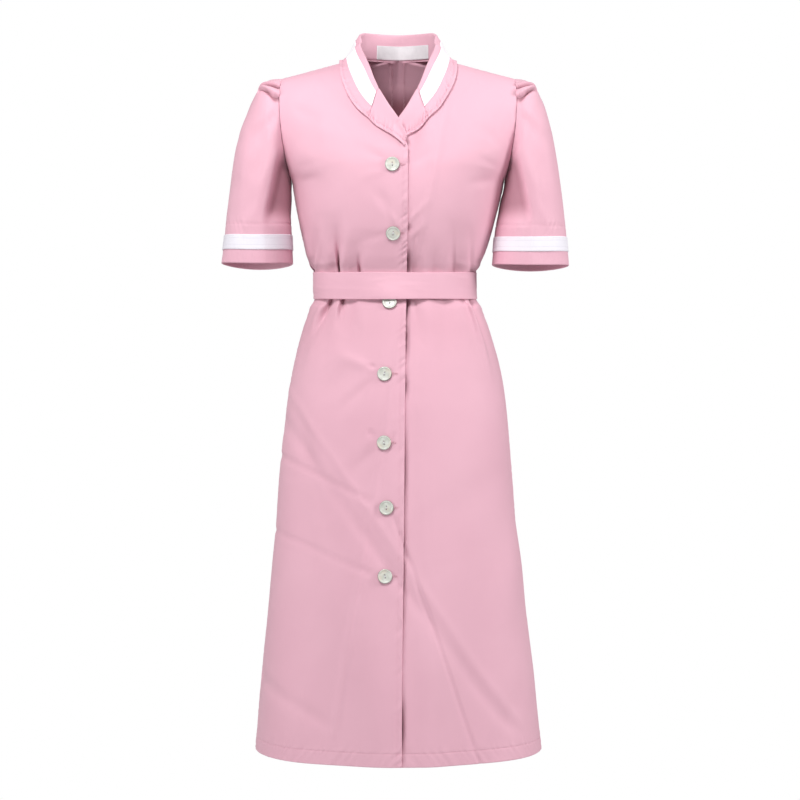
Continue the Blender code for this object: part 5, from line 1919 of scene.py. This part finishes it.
class StitchTree:
    """The node tree that sews one kind of stitch along guide lines."""

    def __init__(self) -> None:
        """Builds the tree once for every sewn piece."""
        self.tree = bpy.data.node_groups.new("sewn_stitches", "GeometryNodeTree")
        self.sockets: dict[str, str] = {}
        face = self.tree.interface
        face.new_socket("Guide", in_out="INPUT", socket_type="NodeSocketGeometry")
        for name in ("Pitch", "Length", "Width", "Turn"):
            socket = face.new_socket(name, in_out="INPUT", socket_type="NodeSocketFloat")
            self.sockets[name] = socket.identifier
        made = face.new_socket("Thread", in_out="INPUT", socket_type="NodeSocketMaterial")
        self.sockets["Thread"] = made.identifier
        face.new_socket("Stitches", in_out="OUTPUT", socket_type="NodeSocketGeometry")
        self.wire()

    def wire(self) -> None:
        """Joins the tree's nodes: beads laid along a curve, upright to the cloth and turned."""
        nodes = Nodes(self.tree)
        given = nodes.add("NodeGroupInput").outputs
        curve = nodes.add("GeometryNodeMeshToCurve", {"Mesh": given["Guide"]})
        line = {"Curve": curve.outputs["Curve"], "Length": given["Pitch"]}
        spaced = nodes.add("GeometryNodeResampleCurve", line, mode="LENGTH")
        lie = nodes.add("GeometryNodeInputNamedAttribute", {"Name": "lie"}, data_type="FLOAT_VECTOR")
        tangent = nodes.add("GeometryNodeInputTangent")
        facing = {"Vector": lie.outputs["Attribute"]}
        upright = nodes.add("FunctionNodeAlignRotationToVector", facing, axis="Z")
        ahead = {"Rotation": upright.outputs["Rotation"], "Vector": tangent.outputs["Tangent"]}
        along = nodes.add("FunctionNodeAlignRotationToVector", ahead, axis="X", pivot_axis="Z")
        turn = nodes.add("ShaderNodeCombineXYZ", {"Z": given["Turn"]})
        spin = nodes.add("FunctionNodeEulerToRotation", {"Euler": turn.outputs["Vector"]})
        both = {"Rotation": along.outputs["Rotation"], "Rotate By": spin.outputs["Rotation"]}
        turned = nodes.add("FunctionNodeRotateRotation", both, rotation_space="LOCAL")
        thin = nodes.maths("MULTIPLY", given["Width"], 0.8)
        size = nodes.add("ShaderNodeCombineXYZ", {"X": given["Length"], "Y": given["Width"], "Z": thin})
        bead = nodes.add("GeometryNodeMeshUVSphere", {"Segments": 6, "Rings": 3, "Radius": 0.5})
        flat = {"Geometry": bead.outputs["Mesh"], "Rotation": (0.0, math.pi / 2, 0.0)}
        places = {
            "Points": spaced.outputs["Curve"],
            "Instance": nodes.add("GeometryNodeTransform", flat).outputs["Geometry"],
            "Rotation": turned.outputs["Rotation"],
            "Scale": size.outputs["Vector"],
        }
        placed = nodes.add("GeometryNodeInstanceOnPoints", places)
        real = nodes.add("GeometryNodeRealizeInstances", {"Geometry": placed.outputs["Instances"]})
        rounded = nodes.add("GeometryNodeSetShadeSmooth", {"Geometry": real.outputs["Geometry"]})
        coat = {"Geometry": rounded.outputs["Geometry"], "Material": given["Thread"]}
        finish = nodes.add("GeometryNodeSetMaterial", coat)
        nodes.add("NodeGroupOutput", {"Stitches": finish.outputs["Geometry"]})

    def sew(
        self, name: str, guides: list[Lay], stitch: Stitch, finish: bpy.types.Material
    ) -> None:
        """Sews stitches along guide lines and keeps them as one plain mesh.

        Args:
            name: The piece's name.
            guides: Lines of points with the cloth's normals.
            stitch: The kind of stitch.
            finish: The thread.
        """
        points = np.concatenate([guide.points for guide in guides])
        normals = np.concatenate([guide.normals for guide in guides])
        edges, start = [], 0
        for guide in guides:
            count = len(guide.points)
            edges.append(np.stack([np.arange(count - 1), np.arange(1, count)], axis=-1) + start)
            start += count
        mesh = bpy.data.meshes.new(name)
        mesh.from_pydata(points.tolist(), np.concatenate(edges).tolist(), [])
        lie = mesh.attributes.new("lie", "FLOAT_VECTOR", "POINT")
        lie.data.foreach_set("vector", normals.astype(np.float32).ravel())
        guide_object = linked(name + "_guide", mesh)
        sewn = guide_object.modifiers.new("stitches", "NODES")
        sewn.node_group = self.tree
        sizes = {"Pitch": stitch.pitch, "Length": stitch.length, "Width": stitch.width, "Turn": stitch.turn}
        for key, value in sizes.items():
            sewn[self.sockets[key]] = value
        sewn[self.sockets["Thread"]] = finish
        made = plain_mesh(guide_object)
        bpy.data.objects.remove(guide_object)
        made.name = name
        if not made.materials:
            made.materials.append(finish)
        enter(linked(name, made))


@dataclass
class Sewing:
    """Every line of stitches that shows, gathered from the laid pieces."""

    body: Body
    collar: Collar
    sleeves: dict[Side, Sleeve]
    buttons: Buttons
    top_stitch: Stitch = Stitch(0.0030, 0.0023, 0.00042)
    trim_stitch: Stitch = Stitch(0.0026, 0.0020, 0.00036)
    satin_stitch: Stitch = Stitch(0.00052, 0.0024, 0.00044, math.pi / 2)
    overlock: Stitch = Stitch(0.0021, 0.0052, 0.00042, 1.05)
    hole_length: float = 0.0230
    hole_width: float = 0.0022
    hole_shift: float = 0.0055

    def fronts_and_hems(self) -> list[Lay]:
        """The over front's edge, the hems, the sleeve hems and the edges of collar and lapels."""
        cut = self.body.cut
        levels = self.body.levels()
        lines = [self.body.laid["front_right"].line_in(cut.edge_stitch, levels < 1.24)]
        for name, lay in self.body.laid.items():
            lines.append(lay.line_up(cut.hem_turn))
        for sleeve in self.sleeves.values():
            lines.append(sleeve.laid.upended().line_up(sleeve.hem_turn).closed())
        for name in ("collar", "lapel_right", "lapel_left"):
            lines.append(self.collar.laid[name].flipped().line_in(self.collar.edge_stitch))
        return [line.raised(0.00004) for line in lines]

    def trims(self) -> list[Lay]:
        """Both edges of each stripe and the four edges of the label."""
        lines = []
        for sleeve in self.sleeves.values():
            lines.append(sleeve.stripe.line_up(0.0016).closed())
            lines.append(sleeve.stripe.upended().line_up(0.0016).closed())
        stripe, label = self.collar.laid["stripe"], self.collar.laid["label"]
        lines += [stripe.line_in(0.0015), stripe.flipped().line_in(0.0015)]
        lines += [label.line_in(0.0014), label.flipped().line_in(0.0014)]
        lines += [label.line_up(0.0014), label.upended().line_up(0.0014)]
        return [line.raised(0.00003) for line in lines]

    def buttonholes(self, bed: LaidSurface) -> list[Lay]:
        """A long oval round each buttonhole, laid on the over front."""
        ovals = []
        turn = np.linspace(0, 2 * math.pi, 90)
        for height, inset, _ in zip(*self.buttons.rows.values()):
            x = self.body.edge_x(height) - inset + self.hole_shift
            across = np.clip(np.cos(turn) * 1.16, -1, 1) * self.hole_length / 2
            up = np.sin(turn) * self.hole_width / 2
            seat, facing = bed.under(x, height, 0.006)
            right = unit(np.cross(facing, [0.0, 0.0, 1.0])) * -1
            places = seat + across[:, None] * right + up[:, None] * np.cross(facing, right) * -1
            places = bed.lift(places, 0.00012, rest=True)
            ovals.append(Lay(places, bed.height(places)[1]))
        return ovals

    def inside_edges(self) -> list[Lay]:
        """The overcast edges of the centre-back seam, on the inside."""
        cut = self.body.cut
        lines = []
        for side in Side:
            lay = self.body.laid["back_" + side.word]
            line = lay.line_in(cut.seam_allowance - 0.0012)
            lines.append(Lay(line.points - line.normals * (cut.thickness * 1.7 + 0.0001), -line.normals))
        return lines

    def build(self, pink: bpy.types.Material, white: bpy.types.Material) -> None:
        """Sews it all.

        Args:
            pink: The dyed thread.
            white: The undyed thread.
        """
        tree = StitchTree()
        bed = LaidSurface(self.body.laid["front_right"])
        tree.sew("edge_and_hem_stitches", self.fronts_and_hems(), self.top_stitch, pink)
        tree.sew("trim_stitches", self.trims(), self.trim_stitch, white)
        tree.sew("buttonhole_stitches", self.buttonholes(bed), self.satin_stitch, pink)
        tree.sew("overcast_back_seam", self.inside_edges(), self.overlock, pink)


def shared_group(
    name: str, inputs: tuple[tuple[str, str], ...], outputs: tuple[str, ...]
) -> tuple[Nodes, bpy.types.Node, bpy.types.Node]:
    """Starts a shader group.

    Args:
        name: Its name.
        inputs: Names and socket types.
        outputs: Names of its outputs, all plain values.

    Returns:
        Its nodes, its input node and its output node.
    """
    tree = bpy.data.node_groups.new(name, "ShaderNodeTree")
    for label, kind in inputs:
        tree.interface.new_socket(label, in_out="INPUT", socket_type=kind)
    for label in outputs:
        tree.interface.new_socket(label, in_out="OUTPUT", socket_type="NodeSocketFloat")
    nodes = Nodes(tree)
    return nodes, nodes.add("NodeGroupInput"), nodes.add("NodeGroupOutput")


class Weaves:
    """The groups that several finishes share."""

    def __init__(self) -> None:
        """Builds the groups once."""
        self.weave = self.plain_weave()
        self.mottle = self.soft_mottle()

    def plain_weave(self) -> bpy.types.NodeTree:
        """Threads over and under each other, with uneven thick places, on coordinates in metres."""
        inputs = (
            ("Coordinates", "NodeSocketVector"),
            ("Threads", "NodeSocketFloat"),
            ("Slub", "NodeSocketFloat"),
        )
        nodes, given, result = shared_group("plain_weave", inputs, ("Height", "Shade"))
        place = nodes.add("ShaderNodeSeparateXYZ", {0: given.outputs["Coordinates"]})
        turns = nodes.maths("MULTIPLY", given.outputs["Threads"], 2 * math.pi)
        warp = nodes.maths("SINE", nodes.maths("MULTIPLY", place.outputs["X"], turns))
        weft = nodes.maths("SINE", nodes.maths("MULTIPLY", place.outputs["Y"], turns))
        slubs = []
        for stretch in ((45.0, 900.0, 1.0), (900.0, 45.0, 1.0)):
            factors = {0: given.outputs["Coordinates"], 1: stretch}
            drawn = nodes.add("ShaderNodeVectorMath", factors, operation="MULTIPLY")
            lookup = {"Vector": drawn.outputs[0], "Scale": 1.0, "Detail": 1.0}
            noise = nodes.add("ShaderNodeTexNoise", lookup)
            slubs.append(noise.outputs[0])
        both = nodes.maths("ADD", *slubs)
        shade = nodes.maths("MULTIPLY", both, 0.5)
        uneven = nodes.maths("MULTIPLY", nodes.maths("SUBTRACT", both, 1.0), given.outputs["Slub"])
        height = nodes.maths("MULTIPLY_ADD", nodes.maths("MULTIPLY", warp, weft), 0.35, 0.5)
        nodes.feed(result, {"Height": nodes.maths("ADD", height, uneven), "Shade": shade})
        return nodes.tree

    def soft_mottle(self) -> bpy.types.NodeTree:
        """Broad uneven patches from 0 to 1."""
        inputs = (("Coordinates", "NodeSocketVector"), ("Scale", "NodeSocketFloat"))
        nodes, given, result = shared_group("soft_mottle", inputs, ("Mask",))
        lookup = {"Vector": given.outputs["Coordinates"], "Scale": given.outputs["Scale"], "Detail": 3.0}
        noise = nodes.add("ShaderNodeTexNoise", lookup).outputs[0]
        nodes.feed(result, {"Mask": nodes.spread(noise, 0.32, 0.68)})
        return nodes.tree


def new_finish(name: str) -> tuple[bpy.types.Material, Nodes, bpy.types.Node]:
    """A new material, its nodes and its shader."""
    made = bpy.data.materials.new(name)
    made.use_nodes = True
    return made, Nodes(made.node_tree), made.node_tree.nodes["Principled BSDF"]


Colour = tuple[float, float, float, float]
# How far painted shade in creases darkens each channel of a cloth's darker colour.
CREASE_SHADE = (0.25, 0.09, 0.11)


@dataclass(frozen=True)
class WovenFinish:
    """A woven cloth or tape, darkened by painted shade where its pieces carry it."""

    name: str
    light: Colour
    dark: Colour
    rough_low: float
    rough_high: float
    sheen: float
    threads: float
    slub: float
    bump: float
    mottle_scale: float = 7.0
    tape_width: float = 0.0

    def build(self, weaves: Weaves) -> bpy.types.Material:
        """Builds the material.

        Args:
            weaves: The shared groups.

        Returns:
            The material.
        """
        made, nodes, shader = new_finish(self.name)
        sheet = nodes.add("ShaderNodeUVMap", uv_map="cloth").outputs[0]
        place = nodes.add("ShaderNodeTexCoord").outputs["Object"]
        threads = {"Coordinates": sheet, "Threads": self.threads, "Slub": self.slub}
        weave = nodes.add("ShaderNodeGroup", node_tree=weaves.weave)
        nodes.feed(weave, threads)
        mottle = nodes.add("ShaderNodeGroup", node_tree=weaves.mottle)
        nodes.feed(mottle, {"Coordinates": place, "Scale": self.mottle_scale})
        share = nodes.maths("MULTIPLY", mottle.outputs["Mask"], 0.6)
        share = nodes.maths("MULTIPLY_ADD", weave.outputs["Shade"], 0.4, share)
        height = weave.outputs["Height"]
        if self.tape_width:
            aside = nodes.add("ShaderNodeSeparateXYZ", {0: sheet}).outputs["Y"]
            middle = nodes.maths("ABSOLUTE", nodes.maths("SUBTRACT", aside, self.tape_width / 2))
            off = nodes.maths("ABSOLUTE", nodes.maths("SUBTRACT", middle, self.tape_width / 4.4))
            rib = nodes.spread(off, 0.0, 0.0009, min=1.0, max=0.0)
            share = nodes.maths("SUBTRACT", share, nodes.maths("MULTIPLY", rib, 0.55))
            height = nodes.maths("SUBTRACT", height, nodes.maths("MULTIPLY", rib, 1.4))
        colour = nodes.mix(share, self.dark, self.light)
        # Painted shade in creases and other shaded places, read from the shade that each piece carries per
        # point.
        fold = nodes.add("ShaderNodeAttribute", attribute_name="fold_shade").outputs["Fac"]
        deepest = (*(part * whole for part, whole in zip(CREASE_SHADE, self.dark)), 1)
        creased_and_shaded = nodes.mix(nodes.maths("MULTIPLY", fold, 0.9), colour, deepest)
        rough = nodes.spread(weave.outputs["Shade"], 0.0, 1.0, min=self.rough_low, max=self.rough_high)
        bump = nodes.add("ShaderNodeBump", {"Height": height, "Strength": self.bump, "Distance": 0.00022})
        nodes.feed(shader, {"Base Color": creased_and_shaded, "Roughness": rough, "Normal": bump.outputs[0]})
        nodes.feed(shader, {"Sheen Weight": self.sheen, "Sheen Roughness": 0.45, "Specular IOR Level": 0.25})
        return made


@dataclass(frozen=True)
class PearlFinish:
    """Grey-green shell with cloudy layers and a soft polish, and a dark rim that is partly its own edge and
    partly painted shadow of the gap round it.
    """

    name: str
    deep: Colour
    pale: Colour
    warm: Colour
    edge: Colour

    def build(self) -> bpy.types.Material:
        """Builds the material."""
        made, nodes, shader = new_finish(self.name)
        sheet = nodes.add("ShaderNodeUVMap", uv_map="cloth").outputs[0]
        clouds = {"Vector": sheet, "Scale": 110.0, "Detail": 2.0, "Distortion": 0.6}
        cloud = nodes.add("ShaderNodeTexNoise", clouds).outputs[0]
        layer = nodes.add("ShaderNodeTexNoise", {"Vector": sheet, "Scale": 70.0, "Detail": 1.0}).outputs[0]
        first = nodes.mix(nodes.spread(cloud, 0.28, 0.62), self.deep, self.pale)
        second = nodes.mix(nodes.spread(layer, 0.52, 0.70, max=0.75), first, self.warm)
        # The rim's dark colour: partly the shell's own edge, partly painted shadow of the gap round the
        # button.
        rim = nodes.add("ShaderNodeAttribute", attribute_name="rim").outputs["Fac"]
        rough = nodes.spread(cloud, 0.0, 1.0, min=0.30, max=0.42)
        bump = nodes.add("ShaderNodeBump", {"Height": cloud, "Strength": 0.15, "Distance": 0.0004})
        nodes.feed(shader, {"Base Color": nodes.mix(rim, second, self.edge), "Roughness": rough})
        nodes.feed(shader, {"Normal": bump.outputs[0], "Coat Weight": 0.2, "Coat Roughness": 0.08})
        return made


@dataclass(frozen=True)
class ThreadFinish:
    """Spun sewing thread."""

    name: str
    light: Colour
    dark: Colour

    def build(self, weaves: Weaves) -> bpy.types.Material:
        """Builds the material from the shared mottle, at the thread's own scale."""
        made, nodes, shader = new_finish(self.name)
        place = nodes.add("ShaderNodeTexCoord").outputs["Object"]
        group = nodes.add("ShaderNodeGroup", node_tree=weaves.mottle)
        nodes.feed(group, {"Coordinates": place, "Scale": 900.0})
        mask = group.outputs["Mask"]
        bump = nodes.add("ShaderNodeBump", {"Height": mask, "Strength": 0.4, "Distance": 0.0001})
        nodes.feed(shader, {"Base Color": nodes.mix(mask, self.dark, self.light), "Normal": bump.outputs[0]})
        nodes.feed(shader, {"Roughness": 0.55, "Sheen Weight": 0.15})
        return made


@dataclass
class Studio:
    """Pale floor, soft light and the photograph's level frontal camera."""

    camera_place: tuple[float, float, float] = (0.003, -3.5, -0.492)
    lens: float = 105.0
    floor_height: float = -1.42
    floor_half: float = 1.35
    ambient: float = 0.33
    lamps: Rows = field(
        default_factory=lambda: table(
            "x y z size power",
            (-0.40, -1.20, 1.00, 0.6, 25.0),
            (2.20, -0.80, 0.40, 0.7, 35.0),
            (-1.80, -1.20, -0.40, 0.8, 12.0),
        )
    )
    aim: tuple[float, float, float] = (0.0, 0.0, -0.35)

    def build(self) -> None:
        """Builds the camera, the lights, the surroundings and the floor."""
        bpy.context.scene.view_settings.view_transform = "Standard"
        camera = linked("front_camera", bpy.data.cameras.new("front_camera"))
        camera.data.sensor_width = 36.0
        camera.data.lens = self.lens
        camera.location = self.camera_place
        camera.rotation_euler = (math.pi / 2, 0.0, 0.0)
        bpy.context.scene.camera = camera
        for name, row in zip(("key_light", "right_light", "left_light"), zip(*self.lamps.values())):
            self.lamp(name, row[:3], *row[3:])
        self.surroundings()
        self.floor()

    def lamp(self, name: str, place: tuple[float, float, float], size: float, power: float) -> None:
        """Adds a square soft light that faces the dress."""
        light = bpy.data.lights.new(name, "AREA")
        light.shape = "SQUARE"
        light.size = size
        light.energy = power
        thing = linked(name, light)
        thing.location = place
        thing.rotation_euler = (Vector(self.aim) - Vector(place)).to_track_quat("-Z", "Y").to_euler()

    def surroundings(self) -> None:
        """A white backdrop to the camera and a soft even light to everything else."""
        world = bpy.data.worlds.new("soft_room")
        bpy.context.scene.world = world
        world.use_nodes = True
        tree = world.node_tree
        tree.nodes.clear()
        nodes = Nodes(tree)
        soft = {"Color": (1.0, 0.985, 0.99, 1.0), "Strength": self.ambient}
        light = nodes.add("ShaderNodeBackground", soft)
        white = nodes.add("ShaderNodeBackground", {"Color": (1.0, 1.0, 1.0, 1.0), "Strength": 1.0})
        ray = nodes.add("ShaderNodeLightPath")
        seen = {0: ray.outputs["Is Camera Ray"], 1: light.outputs[0], 2: white.outputs[0]}
        nodes.add("ShaderNodeOutputWorld", {0: nodes.add("ShaderNodeMixShader", seen).outputs[0]})

    def floor(self) -> None:
        """A plain pale floor under the dress, which hangs clear of it."""
        half, height = self.floor_half, self.floor_height
        mesh = bpy.data.meshes.new("studio_floor")
        signs = ((-1, -1), (1, -1), (1, 1), (-1, 1))
        corners = [(across * half, ahead * half, height) for across, ahead in signs]
        mesh.from_pydata(corners, [], [(0, 1, 2, 3)])
        finish, nodes, shader = new_finish("pale_floor")
        nodes.feed(shader, {"Base Color": (0.86, 0.86, 0.87, 1.0), "Roughness": 0.8})
        mesh.materials.append(finish)
        linked("studio_floor", mesh)


PINK_CLOTH = WovenFinish(
    "pink_poplin", (0.800, 0.464, 0.556, 1), (0.752, 0.420, 0.512, 1), 0.58, 0.72, 0.12, 1500.0, 0.5, 0.35
)
WHITE_TAPE = WovenFinish(
    *("white_tape", (0.90, 0.885, 0.93, 1), (0.80, 0.765, 0.84, 1)),
    *(0.50, 0.62, 0.10, 1300.0, 0.4, 0.35, 9.0, 0.021),
)
COLLAR_TAPE = WovenFinish(
    "collar_tape", (0.94, 0.93, 0.95, 1), (0.90, 0.88, 0.91, 1), 0.50, 0.62, 0.10, 1300.0, 0.4, 0.30
)
LABEL_SATIN = WovenFinish(
    *("blank_label_satin", (0.84, 0.82, 0.84, 1), (0.70, 0.68, 0.70, 1)),
    *(0.35, 0.50, 0.05, 1100.0, 0.8, 0.5, 60.0),
)
SHELL_PEARL = PearlFinish(
    "shell_pearl", (0.50, 0.52, 0.46, 1), (0.68, 0.70, 0.64, 1), (0.66, 0.60, 0.50, 1), (0.15, 0.15, 0.12, 1)
)
PINK_THREAD = ThreadFinish("pink_thread", (0.80, 0.46, 0.54, 1), (0.66, 0.34, 0.42, 1))
WHITE_THREAD = ThreadFinish("white_thread", (0.88, 0.86, 0.88, 1), (0.72, 0.69, 0.73, 1))

RIGHT_SLEEVE = table(
    "share outer_x outer_z inner_x inner_z half_depth centre_y",
    (0.00, 0.1745, -0.0105, 0.159, -0.165, 0.054, 0.000),
    (0.06, 0.1855, -0.0115, 0.159, -0.168, 0.058, 0.000),
    (0.14, 0.1975, -0.016, 0.159, -0.173, 0.061, 0.000),
    (0.22, 0.209, -0.027, 0.159, -0.178, 0.063, -0.001),
    (0.31, 0.218, -0.045, 0.159, -0.1835, 0.064, -0.002),
    (0.42, 0.2285, -0.072, 0.159, -0.189, 0.064, -0.003),
    (0.52, 0.238, -0.098, 0.1592, -0.1945, 0.063, -0.004),
    (0.64, 0.245, -0.133, 0.1596, -0.203, 0.061, -0.005),
    (0.78, 0.251, -0.179, 0.16, -0.216, 0.0585, -0.006),
    (0.88, 0.2565, -0.224, 0.1592, -0.23, 0.056, -0.007),
    (1.00, 0.264, -0.2872, 0.1565, -0.2882, 0.0525, -0.008),
)
LEFT_SLEEVE = RIGHT_SLEEVE | table(
    "outer_x outer_z inner_x inner_z",
    (0.1745, -0.0105, 0.159, -0.165),
    (0.1855, -0.0115, 0.159, -0.168),
    (0.1965, -0.0165, 0.1584, -0.173),
    (0.2065, -0.0265, 0.1574, -0.178),
    (0.2155, -0.044, 0.1562, -0.1835),
    (0.2245, -0.07, 0.1546, -0.189),
    (0.231, -0.097, 0.1532, -0.1945),
    (0.2375, -0.133, 0.1514, -0.203),
    (0.244, -0.179, 0.149, -0.216),
    (0.2495, -0.224, 0.146, -0.231),
    (0.2555, -0.2907, 0.14, -0.2896),
)
SLEEVE_ROWS: dict[Side, Rows] = {Side.RIGHT: RIGHT_SLEEVE, Side.LEFT: LEFT_SLEEVE}


def main() -> None:
    """Builds the dress round the frame."""
    logging.basicConfig(level=logging.INFO, format="%(message)s")
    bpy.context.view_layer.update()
    weaves = Weaves()
    pink, tape, collar_tape = PINK_CLOTH.build(weaves), WHITE_TAPE.build(weaves), COLLAR_TAPE.build(weaves)
    satin, pearl = LABEL_SATIN.build(weaves), SHELL_PEARL.build()
    pink_thread, white_thread = PINK_THREAD.build(weaves), WHITE_THREAD.build(weaves)

    Studio().build()
    body = Body(BodyCut(), ArmholeCurve())
    body.build(pink)
    sleeves = {side: Sleeve(side, SLEEVE_ROWS[side]) for side in Side}
    for sleeve in sleeves.values():
        sleeve.build(pink, tape)
    collar = Collar(body)
    collar.build(pink, collar_tape, satin)
    buttons = Buttons()
    belt = Belt()
    belt.build(pink, body.edge_x(float(buttons.rows["height"][2])) - float(buttons.rows["inset"][2]))
    buttons.build(LaidSurface(body.laid["front_right"]), body.edge_x, pearl)
    buttons.thread(white_thread)
    Sewing(body, collar, sleeves, buttons).build(pink_thread, white_thread)


if __name__ == "__main__":
    main()
